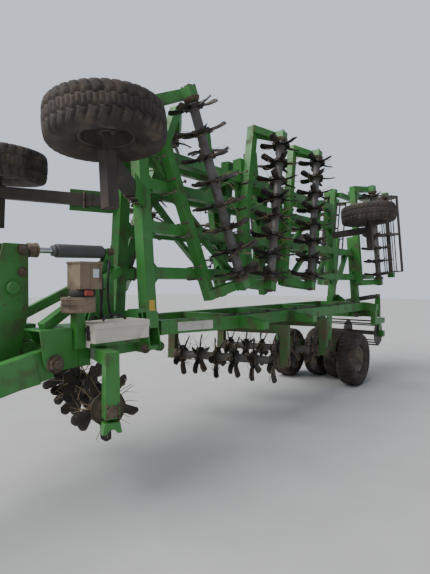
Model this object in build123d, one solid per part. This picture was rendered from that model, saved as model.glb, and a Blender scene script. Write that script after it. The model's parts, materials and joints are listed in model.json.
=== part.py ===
# Folding rotary tine cultivator, towed, parked with both wings folded up.
# Millimetres. +X is forward, +Y is the machine's left, +Z is up.
# Stations are measured rearwards from the centre of the towing eye.
# The wings are drawn in the working position and folded up at the end.
from build123d import *
from math import atan2, cos, degrees, hypot, pi, radians, sin
import os

# Wheels
TYRE_D = 845.0
TYRE_W = 285.0
WHEEL_SIDES = 44
RIM_D = 400.0
HUB_R = 62.0
HUB_HALF = 55.0
AXLE_R = 28.0
RUN_GAP = 0.05

# Rotors, the same star in every row
ROTOR_R = 272.0
ROTOR_Z = 740.0
STAR_PITCH = 244.0
BLADES = 5
BLADE_T = 16.0
BLADE_W = 40.0
BLADE_ROOT = 90.0
BLADE_TWIST = 24.0
SHAFT_R = 42.0
SPOOL_R = 56.0
STUB_R = 26.0
HUB_PLATE_R = 120.0
HUB_PLATE_T = 40.0
SHAFT_END = 45.0
SIDE_GAP = 8.0

# Cage rollers
CAGE_R = 235.0
CAGE_BARS = 8
CAGE_BAR = 28.0
DISC_T = 12.0

# Centre frame: the spine runs low between the hinge pins, the rails above
FRAME_BOTTOM = 1170.0
FRAME_H = 140.0
SPINE_BOTTOM = 1030.0
SPINE_Y = 170.0
LOW_S = 2850.0
LAP = 35.0
NECK_Y = 150.0
HEAD_S = 2300.0
HEAD_W = 100.0
HEAD_Y = 400.0
RAIL_W = 100.0
RAIL_Y = 430.0
SPLAY_Y = 250.0
SPLAY_S = 3360.0
STRAIGHT_S = 3990.0
RAIL_END_S = 8185.0

# Wings, in the working position
HINGE_Y = 300.0
HINGE_Z = 1070.0
FOLD = 94.5
WING_BOTTOM = 1050.0
WING_H = 120.0
POST_W = 120.0
POST_ROOT = 180.0
BAR_W = 110.0
BAR_H = 100.0
BRACE_W = 80.0
PIN_R = 24.0
FRONT_HINGE_S = 3150.0
REAR_HINGE_S = 8300.0
EAR_T = 14.0
EAR_R = 44.0
EAR_GAP = 6.0
LUG_T = 16.0

# Gang carriers
BOX = 100.0
CARRIER_AHEAD = 280.0
ARM_T = 16.0
END_T = 100.0
END_BEARING_T = 40.0
BEARING = 110.0
BEARING_T = 70.0

# Gauge wheels on the wings
GAUGE_Y = 1950.0
GAUGE_Z = TYRE_D / 2 + 10.0
GAUGE_FRONT_S = 2252.0
GAUGE_REAR_S = 7363.0
ARM_Y = 1700.0
ARM_BOX = 100.0
AXLE_TUBE = 90.0

# Transport wheels and the arms that lift them
LIFT_S = 6700.0
LIFT_Z = 720.0
LIFT_Y = 395.0
LIFT_W = 80.0
LIFT_PIN_R = 35.0
WALK_S = 7490.0
WALK_Z = 550.0
OUTER_S = 7293.0
OUTER_Y = 600.0
INNER_S = 7700.0
INNER_Y = 187.0

# Drawbar, tower and jack
EYE_Z = 620.0
EYE_R = 68.0
EYE_BORE = 25.5
EYE_T = 50.0
PIVOT_S = 2100.0
PIVOT_Z = 1080.0
PIVOT_Y = 300.0
DRAW_H = 220.0
DRAW_W = 100.0
DRAW_GAP = 14.0
TOWER_S = 2040.0
TOWER_Z = 1930.0
MAST_S = 2870.0
MAST_Z = 1955.0
JACK_S = 620.0
JACK_Y = 250.0
JACK_R = 45.0
JACK_LEG_R = 36.0
JACK_FOOT = 110.0
JACK_TUBE = (560.0, 1120.0)

# Hydraulic unit beside the tool box
UNIT_S = 2265.0
UNIT_Y = 445.0
DRUM_R = 125.0
DRUM_Z = 1455.0
RING_Z = 1567.0
HOUSING_Z = 1628.0
HOUSING_H = 200.0

# Cylinders
FOLD_OFFSET = 150.0
ANCHOR_Y = 600.0
ANCHOR_Z = 1420.0
LUG_A = 250.0
LUG_P = 250.0
BARREL_R = 42.0
ROD_R = 24.0
EYE_W = 28.0
EYE_OUT = 34.0
EYE_NECK = 62.0
PLATE_GAP = 5.5
CYL_PIN_R = 20.0
BARREL_CLEAR = 42.0
TOP_TRAVEL = 230.0

TYRE_R = TYRE_D / 2
FRAME_TOP = FRAME_BOTTOM + FRAME_H
WING_TOP = WING_BOTTOM + WING_H
WING_MID = WING_BOTTOM + WING_H / 2
REACH = POST_W / 2 + EAR_T + EAR_GAP
SIDES = (1, -1)

# Gangs: section, station and side of the middle, skew, number of stars.
# A positive skew puts the left end ahead; the rows are parallel on both wings.
GANGS = {
    # name: (section, station, side, skew, stars)
    "centre_1": (0, 2618.0, 0.0, 20.0, 6),
    "centre_2": (0, 4657.0, 0.0, -15.0, 6),
    "centre_3": (0, 5690.0, 0.0, -15.0, 6),
    "left_1": (1, 3850.0, 1800.0, 20.0, 8),
    "left_2": (1, 5000.0, 1800.0, -15.0, 8),
    "left_3": (1, 6030.0, 1800.0, -15.0, 8),
    "left_4": (1, 8570.0, 1760.0, 0.0, 7),
    "right_1": (-1, 3850.0, -1800.0, 20.0, 8),
    "right_2": (-1, 5000.0, -1800.0, -15.0, 8),
    "right_3": (-1, 6030.0, -1800.0, -15.0, 8),
    "right_4": (-1, 8570.0, -1760.0, 0.0, 7),
}

# Cage rollers: section, station, side, height and length
ROLLERS = {
    # name: (section, station, side, height, length)
    "centre": (0, 8550.0, 0.0, 720.0, 1180.0),
    "left": (1, 9130.0, 1800.0, 680.0, 1480.0),
    "right": (-1, 9130.0, -1800.0, 680.0, 1480.0),
}

# Wing posts, from the front: station, root and tip from the centreline
POSTS = [
    # (station, root, tip)
    (FRONT_HINGE_S, HINGE_Y + POST_ROOT, 2600.0),
    (4810.0, 945.0, 2450.0),
    (5660.0, 945.0, 2400.0),
    (7400.0, 945.0, 2250.0),
    (REAR_HINGE_S, HINGE_Y + POST_ROOT, 1750.0),
]

# Wing bars: distance from the centreline and the post where they end
BARS = [
    # (distance, station of the last post)
    (1000.0, REAR_HINGE_S),
    (1440.0, REAR_HINGE_S),
    (1860.0, 7400.0),
    (2190.0, 7400.0),
]

# Braces in the plane of the wing, each between two neighbouring bars
BRACES = [
    # (station at the inner bar, inner bar, station at the outer bar)
    (4450.0, 0, 4000.0),
    (3950.0, 1, 3550.0),
    (3500.0, 2, 3300.0),
    (4100.0, 2, 4550.0),
    (6000.0, 0, 6450.0),
    (6500.0, 1, 6950.0),
    (7650.0, 0, 7950.0),
]

# Cross beams: station, reach from the centreline, width, height at the tip
CROSS = [
    # (station, reach, width, tip height)
    (4330.0, 800.0, 110.0, 80.0),
    (5440.0, 820.0, 110.0, 80.0),
    (LIFT_S, 0.0, 120.0, 0.0),
    (8135.0, 700.0, 100.0, 110.0),
]

# Transport wheels: side, station, distance from the centreline
ROAD = {
    # name: (side, station, distance)
    "outer_left": (1, OUTER_S, OUTER_Y),
    "inner_left": (1, INNER_S, INNER_Y),
    "outer_right": (-1, OUTER_S, OUTER_Y),
    "inner_right": (-1, INNER_S, INNER_Y),
}

# Gauge wheels: wing and station
GAUGES = {
    # name: (wing, station)
    "front_left": (1, GAUGE_FRONT_S),
    "rear_left": (1, GAUGE_REAR_S),
    "front_right": (-1, GAUGE_FRONT_S),
    "rear_right": (-1, GAUGE_REAR_S),
}

ORIGIN_S = (ROLLERS["left"][1] + CAGE_R - EYE_R) / 2


# Helpers
def at(s, y, z):
    """The point at a station, a side and a height."""
    return Vector(ORIGIN_S - s, y, z)


def box(s0, s1, y0, y1, z0, z1):
    """A box between two stations, two sides and two heights."""
    size = (abs(s1 - s0), abs(y1 - y0), abs(z1 - z0))
    middle = at((s0 + s1) / 2, (y0 + y1) / 2, (z0 + z1) / 2)
    return Pos(*middle) * Box(*size)


def beam(p, q, width, height):
    """A straight box beam from point p to point q, its width level."""
    run = q - p
    yaw = degrees(atan2(run.Y, run.X))
    pitch = degrees(atan2(run.Z, hypot(run.X, run.Y)))
    body = Box(run.length, width, height)
    return Pos(*((p + q) / 2)) * Rot(0, 0, yaw) * Rot(0, -pitch, 0) * body


def rod(p, q, radius):
    """A round bar from point p to point q."""
    run = q - p
    return extrude(Plane(origin=p, z_dir=run) * Circle(radius), run.length)


def side_plate(points, y0, y1):
    """A plate with its outline given in stations and heights."""
    outline = [(ORIGIN_S - s, z) for s, z in points]
    plane = Plane(origin=(0, max(y0, y1), 0), x_dir=(1, 0, 0), z_dir=(0, -1, 0))
    return extrude(plane * make_face(Polyline(*[(x, z) for x, z in outline], close=True)), abs(y1 - y0))


def cross_plate(points, s0, s1):
    """A plate across the machine, its outline given in sides and heights."""
    plane = Plane(origin=(ORIGIN_S - max(s0, s1), 0, 0), x_dir=(0, 1, 0), z_dir=(1, 0, 0))
    return extrude(plane * make_face(Polyline(*points, close=True)), abs(s1 - s0))


def level_plate(points, z0, z1):
    """A level plate with its outline given in stations and sides."""
    outline = [(ORIGIN_S - s, y) for s, y in points]
    face = make_face(Polyline(*outline, close=True))
    return extrude(Plane(origin=(0, 0, z0)) * face, z1 - z0)


def fused(pieces):
    """One solid from pieces that meet."""
    first, *rest = [solid for piece in pieces for solid in piece.solids()]
    return first.fuse(*rest) if rest else first


def fold(shape, side):
    """Turn a wing piece from its working place to its folded place."""
    hinge = Pos(0, side * HINGE_Y, HINGE_Z)
    return hinge * Rot(side * FOLD, 0, 0) * hinge.inverse() * shape


def placed(shape, section):
    """A piece in the place where it parks: folded when it is on a wing."""
    return fold(shape, section) if section else shape


def folded_point(side, a, p):
    """Where a wing point parks, a outboard of the hinge and p above it."""
    turn = radians(FOLD)
    return side * (HINGE_Y + a * cos(turn) - p * sin(turn)), HINGE_Z + a * sin(turn) + p * cos(turn)


# Star rotors: twisted paddles on hub plates along one shaft
def rotor(stars):
    """A rotor along Z, centred on the origin."""
    half = (stars - 1) * STAR_PITCH / 2 + SHAFT_END
    reach = half + SIDE_GAP + END_BEARING_T + END_T
    root = 0.55 * BLADE_W
    paddle = Rot(BLADE_TWIST, 0, 0) * extrude(
        make_face(Polyline(
            (BLADE_ROOT, -root), (0.8 * ROTOR_R, -BLADE_W), (ROTOR_R - 12, -BLADE_W), (ROTOR_R, 0),
            (ROTOR_R - 30, 0.8 * BLADE_W), (BLADE_ROOT, root), close=True)),
        BLADE_T / 2, both=True)
    plate = extrude(RegularPolygon(HUB_PLATE_R, BLADES), HUB_PLATE_T / 2, both=True)
    shaft = extrude(RegularPolygon(SPOOL_R, 8), half, both=True)
    pieces = [shaft, Cylinder(STUB_R, 2 * reach)]
    for k in range(stars):
        spot = Pos(0, 0, (k - (stars - 1) / 2) * STAR_PITCH) * Rot(0, 0, k * 29)
        pieces.append(spot * plate)
        for n in range(BLADES):
            pieces.append(spot * Rot(0, 0, (n + 0.5) * 360 / BLADES) * paddle)
    return fused(pieces)


def cage(length):
    """A cage roller along Z: bars on discs round a shaft."""
    reach = length / 2 + ARM_T + BEARING_T
    ring = CAGE_R - CAGE_BAR / 2
    disc = extrude(RegularPolygon(ring, CAGE_BARS), DISC_T / 2, both=True)
    pieces = [extrude(RegularPolygon(SHAFT_R, 8), length / 2, both=True), Cylinder(STUB_R, 2 * reach)]
    for height in (DISC_T - length / 2, 0, length / 2 - DISC_T):
        pieces.append(Pos(0, 0, height) * disc)
    for n in range(CAGE_BARS):
        slat = Pos(ring, 0, 0) * Box(CAGE_BAR, CAGE_BAR / 2, length)
        pieces.append(Rot(0, 0, n * 360 / CAGE_BARS) * slat)
    return fused(pieces)


def along(station, side, height, skew):
    """A gang's place: its Z runs to the left end, its X up, its Y ahead."""
    turn = radians(skew)
    return Plane(origin=at(station, side, height), x_dir=(0, 0, 1), z_dir=(sin(turn), cos(turn), 0)).location


def gang_frame(section, station, side, skew, stars):
    """Carrier box, two end arms and two bearings of one gang."""
    half = (stars - 1) * STAR_PITCH / 2 + SHAFT_END + SIDE_GAP
    top = (WING_BOTTOM if section else FRAME_BOTTOM) - ROTOR_Z
    ahead = CARRIER_AHEAD if section else 0.0
    inner = half + END_BEARING_T
    reach = inner + END_T
    pieces = [Pos(top - BOX / 2, ahead, 0) * Box(BOX, BOX, 2 * reach)]
    foot = BEARING / 2
    outline = make_face(Polyline(
        (top, ahead - BOX / 2), (top, ahead + BOX / 2), (top - BOX, ahead + BOX / 2), (foot, foot),
        (-foot, foot), (-foot, -foot), (foot, -foot), close=True))
    for end in SIDES:
        pieces.append(Pos(0, 0, end * (inner + END_T / 2)) * extrude(outline, END_T / 2, both=True))
        pieces.append(Pos(0, 0, end * (half + END_BEARING_T / 2)) * Box(BEARING, BEARING, END_BEARING_T))
    body = fused(pieces) - Cylinder(STUB_R + RUN_GAP, 2 * reach + 2)
    return along(station, side, ROTOR_Z, skew) * body


def roller_arm(outline, station, inner, end, height):
    """One arm of a cage roller with its bearing, from the inner face out."""
    outer = inner + end * ARM_T
    outside = outer + end * BEARING_T
    foot = BEARING / 2
    pieces = [
        side_plate(outline, inner, outside),
        box(station - foot, station + foot, inner, outer, height - foot, outline[5][1]),
        box(station - foot, station + foot, outer, outside, height - foot, height + foot)]
    bore = rod(at(station, inner - end, height), at(station, outside + end, height), STUB_R + RUN_GAP)
    return fused(pieces) - bore


def roller_frame(section, station, side, height, length):
    """The arms that carry a cage roller; on a wing the carrier of row four too."""
    rear = station + BEARING / 2
    if section:
        back = REAR_HINGE_S + POST_W / 2
        face = GANGS["left_4"][1] - CARRIER_AHEAD + BOX / 2
        low = WING_BOTTOM - 50
        outline = [(face - 20, low), (face - 20, WING_BOTTOM), (back, WING_BOTTOM), (back, WING_BOTTOM + 80),
                   (rear, WING_BOTTOM + 80), (rear, WING_BOTTOM - 20), (back + 40, WING_BOTTOM - 20),
                   (back + 40, low)]
    else:
        front = CROSS[-1][0] - CROSS[-1][2] / 2
        outline = [(front, SPINE_BOTTOM - 110), (front, FRAME_BOTTOM), (front + 100, FRAME_BOTTOM),
                   (front + 100, SPINE_BOTTOM - 15), (rear, SPINE_BOTTOM - 15), (rear, SPINE_BOTTOM - 110)]
    return [roller_arm(outline, station, side + end * (length / 2 + SIDE_GAP), end, height) for end in SIDES]


# Wheels along Y, centred on the origin
def faceted(profile, sides):
    """A turning with flat facets: a closed profile of radii and sides, swept round Y."""
    turns = [(cos(2 * pi * k / sides), sin(2 * pi * k / sides)) for k in range(sides + 1)]
    faces = []
    for (r0, y0), (r1, y1) in zip(profile, profile[1:] + profile[:1]):
        for (c0, s0), (c1, s1) in zip(turns, turns[1:]):
            corners = [(r0 * c0, y0, r0 * s0), (r0 * c1, y0, r0 * s1), (r1 * c1, y1, r1 * s1), (r1 * c0, y1, r1 * s0)]
            faces.append(make_face(Polyline(*corners, close=True)))
    return Solid(Shell(faces))


def tyre():
    """A tyre with a round shoulder."""
    seat = RIM_D / 2
    w = TYRE_W / 2
    half = [(seat, 0.62 * w), (seat + 0.35 * (TYRE_R - seat), w), (TYRE_R - 48, 0.96 * w), (TYRE_R, 0.55 * w)]
    return faceted(half + [(r, -y) for r, y in reversed(half)], WHEEL_SIDES)


def rim():
    """A dished rim with its hub, bored for the axle."""
    seat = RIM_D / 2 - 0.3
    w = 0.62 * TYRE_W / 2
    barrel = faceted([(seat, w), (seat - 14, w), (seat - 14, -w), (seat, -w)], WHEEL_SIDES // 2)
    turn = Rot(90, 0, 0)
    web = turn * extrude(RegularPolygon(seat - 6, WHEEL_SIDES // 2), 8, both=True)
    hub = turn * extrude(RegularPolygon(HUB_R, WHEEL_SIDES // 3), HUB_HALF, both=True)
    return fused([barrel, web, hub]) - turn * Cylinder(AXLE_R + RUN_GAP, 2 * HUB_HALF + 2)


# Wing frames
def ears(side, station):
    """Two ears on a post, bored for the hinge pin."""
    foot = HINGE_Y + POST_ROOT
    outline = [
        (HINGE_Y - EAR_R, HINGE_Z), (HINGE_Y - 20, HINGE_Z - EAR_R + 6), (HINGE_Y + 20, HINGE_Z - EAR_R + 6),
        (foot, WING_BOTTOM), (foot + 150, WING_BOTTOM), (foot + 150, WING_TOP), (foot, WING_TOP),
        (HINGE_Y + 20, HINGE_Z + EAR_R - 6), (HINGE_Y - 20, HINGE_Z + EAR_R - 6)]
    pieces = []
    for end in SIDES:
        near = station + end * POST_W / 2
        pieces.append(cross_plate([(side * y, z) for y, z in outline], near, near + end * EAR_T))
    bore = rod(at(station - 100, side * HINGE_Y, HINGE_Z), at(station + 100, side * HINGE_Y, HINGE_Z),
               PIN_R + RUN_GAP)
    return [ear - bore for ear in pieces]


def gauge_arm(side, station):
    """The box arm, the axle tube and the axle of one gauge wheel."""
    if station == GAUGE_REAR_S:
        arm = box(station - ARM_BOX / 2, station + ARM_BOX / 2, side * (ARM_Y - ARM_BOX / 2),
                  side * (ARM_Y + ARM_BOX / 2), GAUGE_Z - AXLE_TUBE / 2, WING_BOTTOM)
    else:
        root = at(FRONT_HINGE_S - POST_W / 2 + 30, side * ARM_Y, WING_MID)
        arm = beam(root, at(station, side * ARM_Y, GAUGE_Z), ARM_BOX, ARM_BOX)
    inner = GAUGE_Y - TYRE_W / 2 - 40
    half = AXLE_TUBE / 2
    tube = box(station - half, station + half, side * (ARM_Y - 330), side * inner, GAUGE_Z - half, GAUGE_Z + half)
    axle = rod(at(station, side * inner, GAUGE_Z), at(station, side * (GAUGE_Y + HUB_HALF - 4), GAUGE_Z), AXLE_R)
    return [arm, tube, axle]


def fold_plane(side):
    """The station where a wing's fold cylinder works."""
    return FRONT_HINGE_S - FOLD_OFFSET if side > 0 else REAR_HINGE_S + FOLD_OFFSET


def clevis(points, plane):
    """Two plates either side of a cylinder's eye, their outline in sides and heights."""
    plates = []
    for end in SIDES:
        near = plane + end * (EYE_W / 2 + PLATE_GAP)
        plates.append(cross_plate(points, near, near + end * LUG_T))
    return plates


def fold_lug(side):
    """The bracket on a wing post that the fold cylinder moves."""
    plane = fold_plane(side)
    y = HINGE_Y + LUG_A
    z = HINGE_Z + LUG_P
    points = [(side * (y - 32), z - 10), (side * (y - 18), z + 30), (side * (y + 18), z + 30),
              (side * (y + 120), WING_TOP), (side * (y + 120), WING_BOTTOM), (side * (y + 10), WING_BOTTOM)]
    far = EYE_W / 2 + PLATE_GAP + LUG_T
    web = box(plane - side * far, plane + side * (FOLD_OFFSET - POST_W / 2), side * (y + 80),
              side * (y + 120), WING_BOTTOM, WING_TOP)
    return clevis(points, plane) + [web]


def wing_posts(side):
    """Posts with their ears, fold lug and gauge wheel arms."""
    solids = []
    for station, root, tip in POSTS:
        half = POST_W / 2
        pieces = [box(station - half, station + half, side * root, side * tip, WING_BOTTOM, WING_TOP)]
        if root < BARS[0][0] - BAR_W / 2:
            pieces += ears(side, station)
        if abs(station - fold_plane(side)) == FOLD_OFFSET:
            pieces += fold_lug(side)
        if station == FRONT_HINGE_S:
            pieces += gauge_arm(side, GAUGE_FRONT_S)
        if abs(station - GAUGE_REAR_S) < half:
            pieces += gauge_arm(side, GAUGE_REAR_S)
        solids.append(fused(pieces))
    return solids


def wing_bars(side):
    """Long bars of a wing, one length in each bay between two posts."""
    half = POST_W / 2
    return [
        box(near[0] + half, far[0] - half, side * (y - BAR_W / 2), side * (y + BAR_W / 2),
            WING_BOTTOM, WING_BOTTOM + BAR_H)
        for y, last in BARS for near, far in zip(POSTS, POSTS[1:]) if far[0] <= last]


def wing_braces(side):
    """Slanting braces that lie between two bars."""
    solids = []
    half = BRACE_W / 2
    for s0, number, s1 in BRACES:
        y0 = side * (BARS[number][0] + BAR_W / 2)
        y1 = side * (BARS[number + 1][0] - BAR_W / 2)
        points = [(s0 - half, y0), (s0 + half, y0), (s1 + half, y1), (s1 - half, y1)]
        solids.append(level_plate(points, WING_BOTTOM + 10, WING_BOTTOM + BAR_H - 10))
    return solids


# Centre frame
def hinge_lugs(side, station):
    """Two lugs on the spine and the pin that a wing turns on."""
    outline = [(SPINE_Y, SPINE_BOTTOM), (SPINE_Y, FRAME_BOTTOM), (HINGE_Y, HINGE_Z + EAR_R),
               (HINGE_Y + EAR_R, HINGE_Z + 20), (HINGE_Y + EAR_R, HINGE_Z - 20), (HINGE_Y + 20, HINGE_Z - EAR_R),
               (HINGE_Y - 20, HINGE_Z - EAR_R)]
    pieces = []
    for end in SIDES:
        near = station + end * REACH
        pieces.append(cross_plate([(side * y, z) for y, z in outline], near, near + end * LUG_T))
    reach = REACH + LUG_T
    pieces.append(rod(at(station - reach, side * HINGE_Y, HINGE_Z), at(station + reach, side * HINGE_Y, HINGE_Z),
                      PIN_R))
    return pieces


def anchor(side):
    """The outrigger, tower and pin that a wing's fold cylinder stands on."""
    plane = fold_plane(side)
    half = EYE_W / 2 + PLATE_GAP + LUG_T
    y = -side * ANCHOR_Y
    beam_out = box(plane - half, plane + half, -side * SPINE_Y, -side * (ANCHOR_Y + 45), SPINE_BOTTOM, FRAME_BOTTOM)
    points = [(y - 45, FRAME_BOTTOM), (y + 45, FRAME_BOTTOM), (y + 34, ANCHOR_Z + 34), (y - 34, ANCHOR_Z + 34)]
    pin = rod(at(plane - half, y, ANCHOR_Z), at(plane + half, y, ANCHOR_Z), CYL_PIN_R)
    return [beam_out, pin] + clevis(points, plane)


def spine():
    """The spine, front and rear, with the hinge lugs and the cylinder towers."""
    clear = EYE_W / 2 + PLATE_GAP + LUG_T + 15
    front = [
        box(HEAD_S, FRONT_HINGE_S - FOLD_OFFSET - clear, -SPINE_Y, SPINE_Y, FRAME_BOTTOM, FRAME_TOP),
        box(HEAD_S, HEAD_S + HEAD_W, -HEAD_Y, HEAD_Y, SPINE_BOTTOM, FRAME_BOTTOM),
        box(LOW_S, SPLAY_S - RAIL_W / 2, -SPINE_Y, SPINE_Y, SPINE_BOTTOM, FRAME_BOTTOM),
        box(FRONT_HINGE_S - FOLD_OFFSET + clear, SPLAY_S - RAIL_W, -NECK_Y, NECK_Y, FRAME_BOTTOM, FRAME_TOP),
        box(SPLAY_S - RAIL_W, SPLAY_S, -SPLAY_Y - RAIL_W / 2, SPLAY_Y + RAIL_W / 2, FRAME_BOTTOM, FRAME_TOP)]
    rear = [
        box(RAIL_END_S, REAR_HINGE_S + FOLD_OFFSET - clear, -NECK_Y, NECK_Y, FRAME_BOTTOM, FRAME_TOP),
        box(RAIL_END_S - LAP, REAR_HINGE_S + FOLD_OFFSET + clear, -SPINE_Y, SPINE_Y, SPINE_BOTTOM, FRAME_BOTTOM)]
    for side in SIDES:
        front += hinge_lugs(side, FRONT_HINGE_S)
        rear += hinge_lugs(side, REAR_HINGE_S)
        for y in (PIVOT_Y - DRAW_W / 2 - DRAW_GAP - LUG_T, PIVOT_Y + DRAW_W / 2 + DRAW_GAP):
            outline = [(HEAD_S, FRAME_BOTTOM), (HEAD_S, SPINE_BOTTOM), (PIVOT_S - 30, SPINE_BOTTOM),
                       (PIVOT_S - 50, PIVOT_Z), (PIVOT_S - 30, PIVOT_Z + 50), (PIVOT_S + 60, FRAME_BOTTOM)]
            front.append(side_plate(outline, side * y, side * (y + LUG_T)))
        reach = DRAW_W / 2 + DRAW_GAP + LUG_T
        front.append(rod(at(PIVOT_S, side * (PIVOT_Y - reach), PIVOT_Z),
                         at(PIVOT_S, side * (PIVOT_Y + reach), PIVOT_Z), AXLE_R))
    return [fused(front + anchor(1)), fused(rear + anchor(-1))]


def rails():
    """Two long rails, splayed behind the front hinge and then straight."""
    half = RAIL_W / 2
    solids = []
    for side in SIDES:
        points = [
            (SPLAY_S, SPLAY_Y - half), (STRAIGHT_S, RAIL_Y - half), (RAIL_END_S, RAIL_Y - half),
            (RAIL_END_S, RAIL_Y + half), (STRAIGHT_S, RAIL_Y + half), (SPLAY_S, SPLAY_Y + half)]
        solids.append(level_plate([(s, side * y) for s, y in points], FRAME_BOTTOM, FRAME_TOP))
    return solids


def cross_beams():
    """Cross beams, cut where the rails pass, the mast and the lift brackets."""
    inner = RAIL_Y - RAIL_W / 2
    outer = RAIL_Y + RAIL_W / 2
    solids = []
    for station, reach, width, tip in CROSS:
        near = station - width / 2
        far = station + width / 2
        solids.append(box(near, far, -inner, inner, FRAME_BOTTOM, FRAME_TOP))
        if reach:
            for side in SIDES:
                points = [(side * outer, FRAME_BOTTOM), (side * reach, FRAME_BOTTOM),
                          (side * reach, FRAME_BOTTOM + tip), (side * outer, FRAME_TOP)]
                solids.append(cross_plate(points, near, far))
    for side in SIDES:
        plates = []
        for end in SIDES:
            y = side * LIFT_Y + end * (LIFT_W / 2 + EAR_GAP)
            outline = [(LIFT_S - 90, FRAME_BOTTOM), (LIFT_S + 90, FRAME_BOTTOM), (LIFT_S + 55, LIFT_Z - 55),
                       (LIFT_S - 55, LIFT_Z - 55)]
            plates.append(side_plate(outline, y, y + end * LUG_T))
        reach = LIFT_W / 2 + EAR_GAP + LUG_T
        pin = rod(at(LIFT_S, side * LIFT_Y - reach, LIFT_Z), at(LIFT_S, side * LIFT_Y + reach, LIFT_Z), LIFT_PIN_R)
        solids.append(fused(plates + [pin]))
    half = EYE_W / 2 + PLATE_GAP
    outline = [(MAST_S - 250, FRAME_TOP), (MAST_S + 40, FRAME_TOP), (MAST_S + 35, MAST_Z + 35),
               (MAST_S - 30, MAST_Z + 35)]
    mast = [side_plate(outline, side * half, side * (half + LUG_T)) for side in SIDES]
    mast.append(box(MAST_S - 160, MAST_S + 40, -half, half, FRAME_TOP, FRAME_TOP + 300))
    mast.append(rod(at(MAST_S, -half - LUG_T, MAST_Z), at(MAST_S, half + LUG_T, MAST_Z), CYL_PIN_R))
    solids.append(fused(mast))
    return solids


# Drawbar
def drawbar():
    """Two converging beams, the towing eye, the tower and the jack's tube."""
    half = EYE_W / 2 + PLATE_GAP
    pieces = [box(150, 330, -120, 120, EYE_Z - 70, EYE_Z + 110)]
    pieces.append(box(0, 200, -45, 45, EYE_Z - EYE_T / 2, EYE_Z + EYE_T / 2))
    pieces.append(Pos(*at(0, 0, EYE_Z)) * Cylinder(EYE_R, EYE_T))
    for side in SIDES:
        pieces.append(beam(at(PIVOT_S, side * PIVOT_Y, PIVOT_Z), at(250, side * 75, EYE_Z + 30), DRAW_W, DRAW_H))
        pieces.append(rod(at(PIVOT_S, side * (PIVOT_Y - DRAW_W / 2), PIVOT_Z),
                          at(PIVOT_S, side * (PIVOT_Y + DRAW_W / 2), PIVOT_Z), 60))
        outline = [(1760, PIVOT_Z - 20), (2000, PIVOT_Z - 20), (TOWER_S + 45, TOWER_Z - 60),
                   (TOWER_S + 45, TOWER_Z + 45), (TOWER_S - 45, TOWER_Z + 45)]
        pieces.append(side_plate(outline, side * half, side * (half + LUG_T)))
    pieces.append(box(1760, 1960, -220, 220, PIVOT_Z - 110, PIVOT_Z - 10))
    pieces.append(box(1000, 1100, -150, 150, 790, 900))
    pieces.append(box(JACK_S - 60, JACK_S + 60, 0, JACK_Y, EYE_Z + 40, EYE_Z + 160))
    low, high = JACK_TUBE
    pieces.append(rod(at(JACK_S, JACK_Y, low), at(JACK_S, JACK_Y, high), JACK_R + 10))
    body = fused(pieces)
    body -= rod(at(0, 0, EYE_Z - EYE_T), at(0, 0, EYE_Z + EYE_T), EYE_BORE)
    body -= rod(at(JACK_S, JACK_Y, low - 1), at(JACK_S, JACK_Y, high - 20), JACK_LEG_R + RUN_GAP)
    for side in SIDES:
        body -= rod(at(PIVOT_S, side * (PIVOT_Y - 61), PIVOT_Z), at(PIVOT_S, side * (PIVOT_Y + 61), PIVOT_Z),
                    AXLE_R + RUN_GAP)
    return body


def jack_leg():
    """The parking jack's leg and its foot plate on the ground."""
    leg = rod(at(JACK_S, JACK_Y, 0), at(JACK_S, JACK_Y, JACK_TUBE[0] + 160), JACK_LEG_R)
    foot = box(JACK_S - JACK_FOOT, JACK_S + JACK_FOOT, JACK_Y - JACK_FOOT, JACK_Y + JACK_FOOT, 0, 16)
    return fused([foot, leg])


# Cylinders along X from the pin at the barrel's end
def barrel(length):
    """A barrel with its eye at the origin, open for the rod."""
    tube = Pos((length + EYE_NECK) / 2, 0, 0) * Rot(0, 90, 0) * Cylinder(BARREL_R, length - EYE_NECK)
    neck = Pos(EYE_NECK / 2, 0, 0) * Box(EYE_NECK, EYE_W, 1.6 * EYE_OUT)
    eye = Rot(90, 0, 0) * Cylinder(EYE_OUT, EYE_W)
    bore = Pos(length / 2 + EYE_NECK + 4, 0, 0) * Rot(0, 90, 0) * Cylinder(ROD_R + RUN_GAP, length)
    return fused([tube, neck, eye]) - bore - Rot(90, 0, 0) * Cylinder(CYL_PIN_R + RUN_GAP, EYE_W + 2)


def piston_rod(start, length):
    """A rod from start to its eye at the length given."""
    end = length - EYE_NECK + 8
    bar = Pos((start + end) / 2, 0, 0) * Rot(0, 90, 0) * Cylinder(ROD_R, end - start)
    neck = Pos(length - EYE_NECK / 2, 0, 0) * Box(EYE_NECK, EYE_W, 1.6 * ROD_R)
    return fused([bar, neck, Pos(length, 0, 0) * Rot(90, 0, 0) * Cylinder(EYE_OUT, EYE_W)])


def aimed(shape, p, q, pin_axis):
    """Lay a cylinder piece from p towards q, its pins along the axis given."""
    run = (q - p).normalized()
    return Plane(origin=p, x_dir=run, z_dir=run.cross(Vector(*pin_axis))).location * shape


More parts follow.
